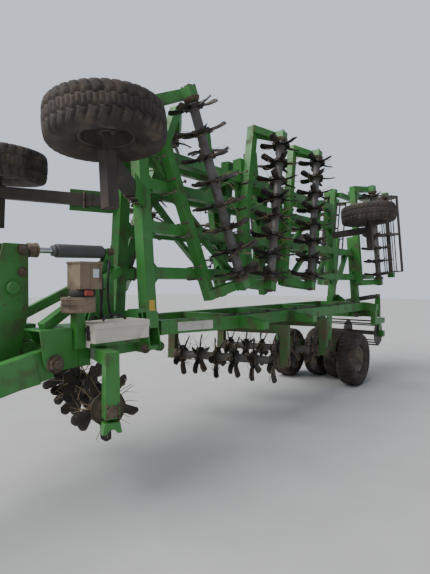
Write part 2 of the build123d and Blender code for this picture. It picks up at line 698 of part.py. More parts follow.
# Transport wheel arms
def carriage(side):
    """The lift arm, the beam between two wheels and their axles."""
    half = LIFT_W / 2
    outline = [
        (LIFT_S - 20, LIFT_Z + 60), (LIFT_S + 60, LIFT_Z + 60), (WALK_S, WALK_Z + 90), (INNER_S + 60, TYRE_R + 60),
        (INNER_S + 60, TYRE_R - 50), (OUTER_S - 60, TYRE_R - 50), (OUTER_S - 60, TYRE_R + 40),
        (LIFT_S - 20, LIFT_Z - 60), (LIFT_S - 60, LIFT_Z)]
    plate = side_plate(outline, side * LIFT_Y - half, side * LIFT_Y + half)
    plate -= rod(at(LIFT_S, side * LIFT_Y - 50, LIFT_Z), at(LIFT_S, side * LIFT_Y + 50, LIFT_Z), LIFT_PIN_R + RUN_GAP)
    outer = rod(at(OUTER_S, side * LIFT_Y, TYRE_R), at(OUTER_S, side * (OUTER_Y + HUB_HALF - 4), TYRE_R), AXLE_R)
    inner = rod(at(INNER_S, side * LIFT_Y, TYRE_R), at(INNER_S, side * (INNER_Y - HUB_HALF + 4), TYRE_R), AXLE_R)
    return fused([plate, outer, inner])


# Tool box and hydraulic unit
def tool_box():
    """The tool box on its support on the left of the head."""
    return [box(2345, 2890, 280, 540, FRAME_BOTTOM + 40, FRAME_BOTTOM + 190),
            box(2345, 2850, 380, 470, FRAME_BOTTOM + 2, FRAME_BOTTOM + 40),
            box(2450, 2550, SPINE_Y, 380, FRAME_BOTTOM + 2, FRAME_BOTTOM + 40)]


def hydraulic_unit():
    """The square housing on a ring, a round drum and a stem."""
    stem = box(UNIT_S - 10, UNIT_S + 70, UNIT_Y - 95, UNIT_Y - 15, FRAME_BOTTOM, DRUM_Z)
    drum = rod(at(UNIT_S, UNIT_Y, DRUM_Z), at(UNIT_S, UNIT_Y, RING_Z), DRUM_R)
    ring = rod(at(UNIT_S + 20, UNIT_Y + 20, RING_Z), at(UNIT_S + 20, UNIT_Y + 20, HOUSING_Z), 0.7 * DRUM_R)
    housing = box(UNIT_S - 60, UNIT_S + 130, UNIT_Y - 55, UNIT_Y + 115, HOUSING_Z, HOUSING_Z + HOUSING_H)
    return fused([stem, drum, ring, housing])


# Write one file for each node
NODES = {
    "frame_spine": spine(),
    "frame_rails": rails(),
    "frame_cross": cross_beams(),
    "gang_frame_centre_front": [gang_frame(*GANGS["centre_1"])],
    "gang_frame_centre_rear": [gang_frame(*GANGS[name]) for name in ("centre_2", "centre_3")],
    "roller_frame_centre": roller_frame(*ROLLERS["centre"]),
    "tool_box": [fused(tool_box())],
    "hydraulic_unit": [hydraulic_unit()],
    "drawbar": [drawbar()],
    "jack_leg": [jack_leg()],
}
mast_pin = at(MAST_S, 0, MAST_Z)
tower_pin = at(TOWER_S, 0, TOWER_Z)
top_length = (tower_pin - mast_pin).length
top_barrel = barrel(top_length - TOP_TRAVEL - BARREL_CLEAR)
NODES["top_cylinder"] = [aimed(top_barrel, mast_pin, tower_pin, (0, 1, 0))]
NODES["top_rod"] = [aimed(piston_rod(TOP_TRAVEL, top_length), mast_pin, tower_pin, (0, 1, 0))]

for side, word in ((1, "left"), (-1, "right")):
    lug_y, lug_z = folded_point(side, LUG_A, LUG_P)
    lug = at(fold_plane(side), lug_y, lug_z)
    tower = at(fold_plane(side), -side * ANCHOR_Y, ANCHOR_Z)
    NODES[f"carriage_{word}"] = [carriage(side)]
    closed = (lug - tower).length
    NODES[f"fold_cylinder_{word}"] = [aimed(barrel(closed - BARREL_CLEAR), tower, lug, (1, 0, 0))]
    NODES[f"fold_rod_{word}"] = [aimed(piston_rod(EYE_NECK + 6, closed), tower, lug, (1, 0, 0))]
    NODES[f"wing_posts_{word}"] = [fold(solid, side) for solid in wing_posts(side)]
    NODES[f"wing_bars_{word}"] = [fold(solid, side) for solid in wing_bars(side)]
    NODES[f"wing_braces_{word}"] = [fold(solid, side) for solid in wing_braces(side)]
    front_gang = gang_frame(*GANGS[f"{word}_1"])
    rear_gangs = [gang_frame(*GANGS[f"{word}_{row}"]) for row in (2, 3)]
    roller_arms = roller_frame(*ROLLERS[word])
    last = fused([gang_frame(*GANGS[f"{word}_4"]), *roller_arms])
    NODES[f"gang_frame_front_{word}"] = [fold(front_gang, side)]
    NODES[f"gang_frame_rear_{word}"] = [fold(solid, side) for solid in rear_gangs]
    NODES[f"roller_frame_{word}"] = [fold(last, side)]

ROTORS = {stars: rotor(stars) for stars in {row[4] for row in GANGS.values()}}
for name, (section, station, side, skew, stars) in GANGS.items():
    NODES[f"rotor_{name}"] = [placed(along(station, side, ROTOR_Z, skew) * ROTORS[stars], section)]
for name, (section, station, side, height, length) in ROLLERS.items():
    NODES[f"roller_{name}"] = [placed(along(station, side, height, 0) * cage(length), section)]
TYRE = tyre()
RIM = rim()
for name, (side, station, distance) in ROAD.items():
    spot = Pos(*at(station, side * distance, TYRE_R))
    NODES[f"transport_tyre_{name}"] = [spot * TYRE]
    NODES[f"transport_rim_{name}"] = [spot * RIM]
for name, (wing, station) in GAUGES.items():
    spot = Pos(*at(station, wing * GAUGE_Y, GAUGE_Z))
    NODES[f"gauge_tyre_{name}"] = [fold(spot * TYRE, wing)]
    NODES[f"gauge_rim_{name}"] = [fold(spot * RIM, wing)]

os.makedirs("parts", exist_ok=True)
for name, solids in NODES.items():
    shape = solids[0] if len(solids) == 1 else Compound(children=solids)
    export_step(shape, f"parts/{name}.step")
print(len(NODES), "nodes written")
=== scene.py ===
# %% [markdown]
# A folding rotary cultivator, dressed for the camera.
# The real machine is a towed frame of green box beams with two wings folded up for the road.
# Under the frame and the wings turn rows of star rotors, and wheels carry it.
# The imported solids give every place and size; this lesson gives each piece its true surface.

# %% Load the frame
import json
import bmesh
import bpy
import numpy as np
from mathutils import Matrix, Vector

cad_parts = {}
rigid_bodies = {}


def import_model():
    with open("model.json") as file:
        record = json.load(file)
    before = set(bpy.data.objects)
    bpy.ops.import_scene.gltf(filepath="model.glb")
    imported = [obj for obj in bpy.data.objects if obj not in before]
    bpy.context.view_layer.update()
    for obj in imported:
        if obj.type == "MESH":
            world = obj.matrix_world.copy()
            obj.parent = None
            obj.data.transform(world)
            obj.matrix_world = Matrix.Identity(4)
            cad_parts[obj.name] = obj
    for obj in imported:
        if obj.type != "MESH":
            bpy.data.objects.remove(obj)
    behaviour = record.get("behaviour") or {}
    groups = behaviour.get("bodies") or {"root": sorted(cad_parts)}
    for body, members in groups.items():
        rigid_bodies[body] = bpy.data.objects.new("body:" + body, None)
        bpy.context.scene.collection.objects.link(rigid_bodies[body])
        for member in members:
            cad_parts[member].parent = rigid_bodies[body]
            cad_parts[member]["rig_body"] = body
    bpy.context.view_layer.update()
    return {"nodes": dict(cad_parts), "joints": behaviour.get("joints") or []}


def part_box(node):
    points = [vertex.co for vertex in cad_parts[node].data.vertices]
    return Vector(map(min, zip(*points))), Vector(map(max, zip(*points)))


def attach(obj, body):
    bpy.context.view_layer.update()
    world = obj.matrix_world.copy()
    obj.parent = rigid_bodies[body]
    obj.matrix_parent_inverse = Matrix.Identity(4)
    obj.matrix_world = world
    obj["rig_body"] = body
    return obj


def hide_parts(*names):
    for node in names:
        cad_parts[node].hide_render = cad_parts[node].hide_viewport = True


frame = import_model()
NODES = frame["nodes"]
JOINTS = {joint["child"]: joint for joint in frame["joints"]}
ROTORS = {body: joint for body, joint in JOINTS.items() if body.startswith("rotor")}

# %% [markdown]
# The driving sizes, in metres. Stations are counted rearwards from the towing eye, as on a drawing,
# because that is how a maker lays out such a frame. Wing pieces are laid out in the working
# position and folded at the end, so that a wing is as easy to draw as a table top.

# %% Driving sizes
EYE_X = 4.6485
FOLD = np.radians(94.5)
HINGE_Y = 0.3
HINGE_Z = 1.07
WING_BOTTOM = 1.05
WING_MID = 1.11
FRAME_BOTTOM = 1.17
FRAME_TOP = 1.31
TYRE_R = 0.4225
TYRE_W = 0.285
ROTOR_R = 0.272
STAR_PITCH = 0.244
SHAFT_END = 0.045
SIDE_GAP = 0.008
END_BEARING = 0.04
END_ARM = 0.1
SIDES = (1, -1)
WINGS = {"left": 1, "right": -1}
print("tyres", 2 * TYRE_R, "m and rotors", 2 * ROTOR_R, "m across")

# %% [markdown]
# Places. Every piece is set by a station, a side and a height, and a wing piece is then turned
# about its hinge. A body belongs to a wing where its chain of joints leads there.

# %% Places on the machine
def at(station, side, height):
    """The point at a station, a side and a height."""
    return np.array([EYE_X - station, side, height], float)


def route(corners):
    """Points given as (station, side, height) rows: x = eye - s, y = side, z = height."""
    return np.array(corners, float) * [-1, 1, 1] + [EYE_X, 0, 0]


def folded(points, side, way=1):
    """Wing points turned by FOLD about the hinge line (HINGE_Y, HINGE_Z); way -1 turns back."""
    points = np.atleast_2d(points)
    turn = way * side * FOLD
    y = points[:, 1] - side * HINGE_Y
    z = points[:, 2] - HINGE_Z
    return np.column_stack([
        points[:, 0],
        side * HINGE_Y + y * np.cos(turn) - z * np.sin(turn),
        HINGE_Z + y * np.sin(turn) + z * np.cos(turn)])


def section_of(body):
    """1 on the left wing, -1 on the right wing and 0 on the centre."""
    while body in JOINTS and not body.startswith("wing"):
        body = JOINTS[body]["parent"]
    return WINGS.get(body.removeprefix("wing_"), 0)


print("left wing tip parks at", folded(at(3.15, 2.6, WING_MID), 1)[0].round(3))

# %% [markdown]
# The tools for surfaces. A shape here is a pair: an array of points, and a list of face arrays.
# Most come from two ideas, a closed profile swept round an axis, and a flat outline that is
# given a thickness. Whole arrays keep it quick and keep each formula in one place.

# %% Shapes from grids
def unit(vector):
    """The vector at length one."""
    vector = np.asarray(vector, float)
    return vector / np.linalg.norm(vector)


def circle(count):
    """The angles of a whole turn in equal steps: 2 pi k / count."""
    return np.arange(count) * 2 * np.pi / count


def grid_faces(rows, columns, round_rows=False, round_columns=False):
    """Quads between neighbours i, i+1 and j, j+1 of a grid; a round direction wraps round."""
    i = np.arange(rows if round_rows else rows - 1)
    j = np.arange(columns if round_columns else columns - 1)
    a, b = np.meshgrid(i, j, indexing="ij")
    below, beside = (a + 1) % rows, (b + 1) % columns
    corners = [a * columns + b, a * columns + beside, below * columns + beside, below * columns + b]
    return np.stack(corners, -1).reshape(-1, 4)


def revolved(profile, sides=48):
    """A closed (radius, height) profile swept round z: x = r cos a, y = r sin a, z = h."""
    radius, height = np.asarray(profile, float).T
    x = np.outer(np.cos(circle(sides)), radius)
    y = np.outer(np.sin(circle(sides)), radius)
    z = np.broadcast_to(height, x.shape)
    return np.stack([x, y, z], -1).reshape(-1, 3), [grid_faces(sides, len(radius), True, True)]


def drum(inner, outer, low, high, sides):
    """A plain ring, or a disc where inner is 0: a rectangle swept round z."""
    return revolved([(inner, low), (outer, low), (outer, high), (inner, high)], sides)


def plate(outline, thickness):
    """A flat outline in x and y with walls up to z = thickness."""
    outline = np.asarray(outline, float)
    count = len(outline)
    low = np.column_stack([outline, np.zeros(count)])
    high = low + [0, 0, thickness]
    ring = np.arange(count)
    following = np.roll(ring, -1)
    walls = np.column_stack([ring, following, following + count, ring + count])
    return np.vstack([low, high]), [walls, ring[::-1][None, :], ring[None, :] + count]


print("a grid of 3 by 4 has", len(grid_faces(3, 4)), "quads")

# %% [markdown]
# Shapes are drawn near the origin, where they are easy to think about, and then carried to
# their place: turned, shifted, folded with a wing or set on a joint's axis. The points move as
# one array, and the faces stay as they are.

# %% Moving and joining shapes
def moved(shape, offset):
    """A shape shifted by an offset."""
    return shape[0] + np.asarray(offset, float), shape[1]


def turned(shape, angle):
    """A shape turned about z."""
    c, s = np.cos(angle), np.sin(angle)
    return shape[0] @ np.array([[c, s, 0], [-s, c, 0], [0, 0, 1]]), shape[1]


def placed(shape, origin, axes=np.eye(3)):
    """A shape moved from its own axes to the machine's: origin + axes times each point."""
    return shape[0] @ axes.T + np.asarray(origin, float), shape[1]


def on_wing(shape, side):
    """A shape drawn in the working position, folded with its wing."""
    return folded(shape[0], side), shape[1]


print("a quarter turn sends x to", turned((np.eye(3), []), np.pi / 2)[0][0].round(3))

# %% [markdown]
# Wheels, rotors and nuts are drawn about z. Three unit vectors carry such a shape to its own line,
# and a second direction fixes how it stands round that line.

# %% Axes and groups
def frame_of(axis, towards=(0, 0, 1)):
    """Three unit vectors as columns: x nearest to towards, y across, and z along the axis."""
    z = unit(axis)
    towards = np.asarray(towards, float)
    if abs(towards @ z) > 0.99:
        towards = np.array([1.0, 0, 0])
    x = unit(towards - (towards @ z) * z)
    return np.column_stack([x, np.cross(z, x), z])


def on_joint(shape, body, way=1):
    """A shape set on a body's joint: z along its axis, or against it with way -1, and x nearest to
    up in the working position, which a parked wing turns to (0, -sin, cos) of its angle."""
    angle = section_of(body) * FOLD
    axis = way * np.array(JOINTS[body]["axis"], float)
    return placed(shape, JOINTS[body]["pos_m"], frame_of(axis, (0, -np.sin(angle), np.cos(angle))))


def joined(shapes):
    """One shape from several: points stacked, and face numbers moved on by the points before."""
    points, faces, start = [], [], 0
    for some_points, some_faces in shapes:
        points.append(some_points)
        faces += [rows + start for rows in some_faces]
        start += len(some_points)
    return np.vstack(points), faces


print("axes of a level joint:", frame_of((0, 1, 0)).tolist())

# %% [markdown]
# From a shape to an object. Doubled points are merged, so that the surface is closed and its faces
# can be turned outwards, and edges sharper than an angle stay sharp.

# %% Meshes
DOUBLES = 1e-5


def merged(mesh, flat=0):
    """Doubles joined, faces outwards, and faces within a flat angle of each other made one."""
    work = bmesh.new()
    work.from_mesh(mesh)
    bmesh.ops.remove_doubles(work, verts=work.verts, dist=DOUBLES)
    if flat:
        bmesh.ops.dissolve_limit(
            work, angle_limit=np.radians(flat), verts=work.verts, edges=work.edges)
    bmesh.ops.recalc_face_normals(work, faces=work.faces)
    work.to_mesh(mesh)
    work.free()


def smoothed(mesh, sharp):
    """Smooth faces, with sharp edges where neighbours differ by more than the angle."""
    mesh.polygons.foreach_set("use_smooth", np.ones(len(mesh.polygons), bool))
    mesh.set_sharp_from_angle(angle=np.radians(sharp))


def mesh_from(name, shape, material, sharp=35, merge=True):
    """A mesh from a shape, in one finish."""
    points, blocks = shape
    mesh = bpy.data.meshes.new(name)
    mesh.from_pydata(points, [], [face for rows in blocks for face in rows.tolist()])
    if merge:
        merged(mesh)
    smoothed(mesh, sharp)
    mesh.materials.append(material)
    return mesh


print("points nearer than", DOUBLES, "m become one")

# %% [markdown]
# Every object stays at the origin and rides on one body, so that it follows that body's joint. A
# small bevel rounds edges that catch light.

# %% Pieces
EDGE_STEPS = 2


def linked(name, data):
    """An object of the scene, from a mesh, a camera or a light."""
    made = bpy.data.objects.new(name, data)
    bpy.context.scene.collection.objects.link(made)
    return made


def shown(name, mesh, body, edge=0.0, limit=30):
    """The mesh as an object that rides on a body, with a small bevel where edge is given."""
    made = linked(name, mesh)
    if edge:
        bevel = made.modifiers.new("edge", "BEVEL")
        bevel.width = edge
        bevel.segments = EDGE_STEPS
        bevel.limit_method = "ANGLE"
        bevel.angle_limit = np.radians(limit)
    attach(made, body)
    return made


def piece(name, shape, material, body="chassis", edge=0.0, sharp=35, merge=True):
    """A shape as an object on a body."""
    return shown(name, mesh_from(name, shape, material, sharp, merge), body, edge)


# %% [markdown]
# The camera stands where the photographer stood: beside the towing eye on the left,
# at the height of a standing person's eye, looking back along the machine with a wide lens.
# The light is an overcast sky: one broad soft sun, and a pale surround that lights the machine
# about half as strongly as the camera sees it, so that the shadows keep their depth.

# %% Camera and light
CAMERA_PLACE = (4.2485, 3.29, 1.684)
CAMERA_DOWN = np.radians(0.73)
CAMERA_LEVEL = np.array([-0.7754, -0.6315])
SENSOR = 36
LENS = 27.03
SUN_TURN = np.radians([32, 24, 25])
SKY_LIGHT = 0.5
SKY_SEEN = 0.95


def fill(tree, node, inputs):
    """Sets a node's inputs, or links them where the value is another node's output."""
    for name, value in inputs.items():
        if isinstance(value, bpy.types.NodeSocket):
            tree.links.new(value, node.inputs[name])
        else:
            node.inputs[name].default_value = value
    return node


camera_data = bpy.data.cameras.new("camera")
camera_data.sensor_width = SENSOR
camera_data.lens = LENS
camera = linked("camera", camera_data)
camera.location = CAMERA_PLACE
heading = np.arctan2(-CAMERA_LEVEL[0], CAMERA_LEVEL[1])
camera.rotation_euler = (np.pi / 2 - CAMERA_DOWN, 0, heading)
bpy.context.scene.camera = camera

sun_data = bpy.data.lights.new("soft_sun", "SUN")
sun_data.energy = 3.4
sun_data.angle = np.radians(60)
sun_data.color = (1.0, 0.98, 0.95)
sun = linked("soft_sun", sun_data)
sun.rotation_euler = SUN_TURN

world = bpy.data.worlds.new("surround")
world.use_nodes = True
sky = world.node_tree
seen = sky.nodes.new("ShaderNodeLightPath").outputs["Is Camera Ray"]
strength = fill(sky, sky.nodes.new("ShaderNodeMapRange"),
                {"Value": seen, "To Min": SKY_LIGHT, "To Max": SKY_SEEN})
fill(sky, sky.nodes["Background"],
     {"Color": (0.78, 0.86, 1.0, 1), "Strength": strength.outputs["Result"]})
bpy.context.scene.world = world
print("camera looks", (camera.matrix_basis.to_3x3().col[2] * -1)[:])

# %% [markdown]
# Finishes. The machine has worked for years, so no paint is one colour. Each finish mixes a fresh
# and a faded colour with broad noise, lays dirt over it in patches, and scratches the gloss.
# The patterns read Object coordinates, so they stay on the metal when a piece moves.

# %% How a finish is made
FADE_SCALE = 2.3
BUMP_DEPTH = 0.004


def worn(name, *colours, dirty=0.45, rough=0.45, grain=18, bump=0.15, metal=0.0):
    """Colour = mix(fresh, faded, broad noise), then mix(that, dirt, patches), then small spots
    where a fourth colour is given. Colours are in thousandths of red, green and blue."""
    fresh, faded, dirt, *spots = [(*(share / 1000 for share in colour), 1) for colour in colours]
    material = bpy.data.materials.new(name)
    material.use_nodes = True
    tree = material.node_tree
    place = tree.nodes.new("ShaderNodeTexCoord").outputs["Object"]

    def noise(scale, detail, low, high):
        texture = fill(tree, tree.nodes.new("ShaderNodeTexNoise"),
                       {"Vector": place, "Scale": scale, "Detail": detail})
        ramp = fill(tree, tree.nodes.new("ShaderNodeMapRange"),
                    {"Value": texture.outputs["Fac"], "From Min": low, "From Max": high})
        return ramp.outputs["Result"]

    def mixed(factor, first, second):
        mix = tree.nodes.new("ShaderNodeMix")
        mix.data_type = "RGBA"
        return fill(tree, mix, {"Factor": factor, 6: first, 7: second}).outputs[2]

    colour = mixed(noise(FADE_SCALE, 3, 0.35, 0.65), fresh, faded)
    patches = noise(grain * 0.35, 9, 0.62 - 0.3 * dirty, 0.86 - 0.3 * dirty)
    colour = mixed(patches, colour, dirt)
    for spot in spots:
        colour = mixed(noise(grain * 1.7, 4, 0.66, 0.72), colour, spot)
    gloss = fill(tree, tree.nodes.new("ShaderNodeMapRange"),
                 {"Value": patches, "To Min": rough, "To Max": min(1.0, rough + 0.35)})
    relief = fill(tree, tree.nodes.new("ShaderNodeBump"),
                  {"Height": noise(grain * 4, 6, 0.2, 0.8), "Strength": bump,
                   "Distance": BUMP_DEPTH})
    fill(tree, tree.nodes["Principled BSDF"],
         {"Base Color": colour, "Metallic": metal, "Roughness": gloss.outputs["Result"],
          "Normal": relief.outputs["Normal"]})
    return material


print("paint fades in patches of about", round(1 / FADE_SCALE, 2), "m")

# %% [markdown]
# The colours were matched against the photograph: a fresh, a faded and a dirty one for each
# finish. The green paint also gets spots of rust, and the cast iron pale ones. Rods stay bright.

# %% Finishes
GREEN = worn("worn_green", (36, 200, 30), (62, 240, 56), (85, 80, 42),
             (110, 65, 35), dirty=0.38, rough=0.42)
OLIVE = worn("muddy_green", (40, 110, 26), (65, 115, 38), (110, 80, 47), dirty=0.7, rough=0.6)
LEG = worn("old_dark_leg", (42, 34, 30), (62, 50, 44), (95, 74, 58), dirty=0.5, rough=0.6)
IRON = worn("worn_iron", (22, 18, 16), (45, 38, 34), (95, 72, 54),
            (300, 270, 240), dirty=0.5, grain=22, bump=0.3, metal=0.3)
# The shaft finish is steel grey, lightened to paint in the shafts' sheen: partly painted sheen.
SHAFT = worn("rotor_shaft", (125, 116, 113), (175, 163, 160), (95, 70, 55),
             rough=0.5, grain=24, bump=0.2, metal=0.2)
BEARING = worn("rusty_housing", (105, 85, 62), (160, 125, 90), (75, 45, 30),
               dirty=0.6, rough=0.7, grain=36, bump=0.35)
CAGE = worn("worn_cage", (75, 62, 56), (120, 102, 94), (120, 88, 66),
            dirty=0.5, rough=0.55, grain=24, metal=0.3)
RUBBER = worn("dusty_rubber", (32, 26, 23), (66, 51, 44), (118, 88, 68),
              rough=0.8, grain=26, bump=0.3)
WHEEL = worn("beige_rim", (220, 185, 145), (160, 130, 100), (65, 50, 40), dirty=0.55, rough=0.55)
# The darker rim finish is the rim colour in painted shade, for the gauge wheels in shade.
SHADED_RIM = worn("rim_painted_shade", (75, 64, 55), (105, 90, 76), (60, 48, 38), dirty=0.55, rough=0.6)
CHROME = worn("polished_rod", (620, 630, 650), (550, 560, 580), (330, 310, 280),
              dirty=0.1, rough=0.12, grain=40, bump=0.03, metal=1.0)
SLEEVE = worn("dark_sleeve", (85, 83, 84), (115, 113, 114), (100, 90, 80), dirty=0.3, rough=0.55)
GREY_BOX = worn("grey_plastic", (740, 670, 580), (660, 590, 500), (360, 300, 220),
                dirty=0.15, rough=0.5)
TAN = worn("tan_housing", (245, 180, 120), (190, 140, 95), (85, 60, 42), dirty=0.55, rough=0.6)
ZINC = worn("dull_zinc", (260, 220, 180), (180, 150, 120), (90, 62, 45),
            dirty=0.55, grain=50, metal=0.6)
BLACK = worn("black_rubber", (18, 18, 19), (28, 27, 27), (70, 60, 50), dirty=0.25, rough=0.6)
STRAW = worn("dry_straw", (300, 210, 100), (380, 280, 150), (120, 85, 50),
             dirty=0.4, rough=0.8, grain=60)
FLOOR = worn("pale_floor", (560, 555, 545), (530, 525, 515), (510, 505, 495),
             dirty=0.2, rough=0.9, grain=2, bump=0.02)
print(len(bpy.data.materials), "materials")

# %% [markdown]
# The floor is only a stage: a pale yard that catches the shadow. It is a flat grid and no part of
# the machine, so it rides on nothing.

# %% Floor
FLOOR_HALF = 40.0
FLOOR_LINES = 9

lines = np.linspace(-FLOOR_HALF, FLOOR_HALF, FLOOR_LINES)
floor_x, floor_y = np.meshgrid(lines, lines)
floor_points = np.stack([floor_x, floor_y, np.zeros_like(floor_x)], -1).reshape(-1, 3)
floor_shape = (floor_points, [grid_faces(FLOOR_LINES, FLOOR_LINES)])
floor = linked("floor", mesh_from("floor", floor_shape, FLOOR, merge=False))
print("floor", 2 * FLOOR_HALF, "m across")

# %% [markdown]
# Rows of stars. The rotors differ in how many stars they carry, and what stands at their ends
# follows from that: bearings, arms and guards. Points are told apart by how far they lie along a
# joint's axis and how far from it.

# %% Rotor rows
def stars_of(body):
    """Stars on a rotor: 6 under the centre, 7 in the last row of a wing and 8 in the others."""
    if not section_of(body):
        return 6
    return 7 if body.endswith("4") else 8


def end_of(body):
    """From the middle of a rotor to the inner face of its end bearing."""
    return (stars_of(body) - 1) * STAR_PITCH / 2 + SHAFT_END + SIDE_GAP


def from_axis(points, joint):
    """Each point's way along a joint's axis, o . a, and the rest of its offset, o - (o . a) a."""
    axis = unit(joint["axis"])
    offset = points - np.array(joint["pos_m"])
    along = offset @ axis
    return along, offset - along[:, None] * axis


print("rotor ends at", {body: round(end_of(body), 3) for body in list(ROTORS)[:4]})

# %% [markdown]
# Two finishes on one frame. Bearings keep their rust, so a face close to a rotor's axis takes the
# housing's finish instead of the paint. The gauge wheels' legs are old dark tubes, and the
# supports of the box and the unit are green. Which face is which follows from where it lies.

# %% Second finishes
BEARING_R = 0.09
LEG_STATION = 3.085
LEG_OUTSIDE = 1.3
REAR_LEG_STATION = 7.0
BOX_SUPPORT = FRAME_BOTTOM + 0.039
UNIT_SUPPORT = FRAME_BOTTOM + 0.215


def on_bearing(points, parent):
    """Points within BEARING_R of the axis of a parent's rotors, and inside their end arms."""
    found = np.zeros(len(points), bool)
    for body, joint in ROTORS.items():
        if joint["parent"] == parent:
            along, radial = from_axis(points, joint)
            inside = np.abs(along) < end_of(body) + END_BEARING - 0.002
            found |= inside & (np.linalg.norm(radial, axis=1) < BEARING_R)
    return found


def second_faces(node, centres):
    """Which faces take the second finish: bearings, wheel legs, and the two supports."""
    if node.startswith(("gang", "roller_frame")):
        return on_bearing(centres, NODES[node]["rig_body"])
    if node.startswith("wing_posts"):
        flat = folded(centres, WINGS[node.rsplit("_", 1)[1]], -1)
        station = EYE_X - flat[:, 0]
        front = (station < LEG_STATION) & (np.abs(flat[:, 1]) > LEG_OUTSIDE)
        return front | (flat[:, 2] < WING_BOTTOM - 0.004) & (station > REAR_LEG_STATION)
    top = {"tool_box": BOX_SUPPORT, "hydraulic_unit": UNIT_SUPPORT}.get(node, -1)
    return centres[:, 2] < top


print("bearings reach", BEARING_R, "m from the axis")

# %% [markdown]
# The welded frames. Their solids already have the right beams and plates, so each is copied,
# its loose triangles are joined back to flat faces, and every outer edge gets the small round
# that rolled box section and a sprayed coat of paint give. The bore of a walking arm is opened by
# a hair, because its facets would catch those of its pin as it turns.

# %% Dressed frames
EDGE = 0.006
FLAT = 0.6
BORE_R = 0.04
BORE_EXTRA = 0.0015
DRESS = {
    # start of a node's name, of which the first that fits counts: (main finish, second finish)
    "frame_spine": (GREEN, LEG), "frame_rails": (GREEN, OLIVE), "frame_cross": (GREEN, OLIVE),
    "gang_frame_centre_rear": (OLIVE, BEARING), "gang_frame": (GREEN, BEARING),
    "roller_frame": (GREEN, BEARING), "tool_box": (GREY_BOX, GREEN), "hydraulic_unit": (TAN, GREEN),
    "drawbar": (GREEN, LEG), "wing": (GREEN, LEG), "carriage": (OLIVE, LEG),
    "jack_leg": (ZINC, ZINC), "top_cylinder": (SLEEVE, SLEEVE), "fold_cylinder": (SLEEVE, SLEEVE),
    "top_rod": (CHROME, CHROME), "fold_rod": (CHROME, CHROME)}


def open_bore(mesh, joint):
    """Points within BORE_R of the joint's axis, moved out: p + BORE_EXTRA times unit radial."""
    points = np.empty(3 * len(mesh.vertices))
    mesh.vertices.foreach_get("co", points)
    points = points.reshape(-1, 3)
    radial = from_axis(points, joint)[1]
    far = np.linalg.norm(radial, axis=1, keepdims=True)
    points = np.where(far < BORE_R, points + BORE_EXTRA * radial / np.maximum(far, 1e-6), points)
    mesh.vertices.foreach_set("co", points.ravel())


def dressed(node, finishes):
    """The node's own mesh, merged and joined to flat faces, with rounded edges."""
    mesh = NODES[node].data.copy()
    merged(mesh, FLAT)
    if node.startswith("carriage"):
        open_bore(mesh, JOINTS[node])
    if "custom_normal" in mesh.attributes:
        mesh.attributes.remove(mesh.attributes["custom_normal"])
    mesh.materials.clear()
    for finish in finishes:
        mesh.materials.append(finish)
    centres = np.empty(3 * len(mesh.polygons))
    mesh.polygons.foreach_get("center", centres)
    chosen = second_faces(node, centres.reshape(-1, 3))
    mesh.polygons.foreach_set("material_index", chosen.astype(np.int32))
    smoothed(mesh, 28)
    made = shown(f"{node}_dressed", mesh, NODES[node]["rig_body"], EDGE, 40)
    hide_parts(node)


count = 0
for node in list(NODES):
    found = [finishes for start, finishes in DRESS.items() if node.startswith(start)]
    if found:
        dressed(node, found[0])
        count += 1
print(count, "nodes dressed")

# %% [markdown]
# Tyres. Each is one grid, round the wheel and across the section. The section runs from bead to
# bead over a bulging wall and a nearly flat tread. The tread is cut by lowering the radius: two
# zigzag grooves run round the tyre, slanting gaps part the shoulder blocks, and short cuts cross
# the middle. Every cut has sloping sides.

# %% Tyres
LUGS = 36
TREAD_DEPTH = 0.013
ZIGZAG = 0.07
GROOVE_AT = 0.3
SLANT = 0.9
MIDDLE_DEPTH = 0.6
# where the slopes start and end: as shares of half the width, of a lug's pitch, and as radii
GROOVE_SLOPE, SHOULDER_FROM, MIDDLE_TO = (0.03, 0.075), (0.34, 0.42), (0.16, 0.24)
GAP_OPENS, GAP_CLOSES, CUT_SLOPE = (0.02, 0.12), (0.26, 0.36), (0.05, 0.14)
WALL_TO = (0.335, 0.365)
TYRE_SECTION = np.array([
    # (share of half width, radius)
    (0.62, 0.2), (0.7, 0.212), (0.9, 0.262), (1.0, 0.315), (0.995, 0.345), (0.965, 0.375),
    (0.9, 0.4), (0.76, 0.413), (0.5, 0.4195), (0.22, 0.4222), (0.0, TYRE_R)])


def step(value, low, high):
    """A smooth rise from 0 at low to 1 at high: t squared times (3 - 2 t)."""
    t = np.clip((value - low) / (high - low), 0, 1)
    return t * t * (3 - 2 * t)


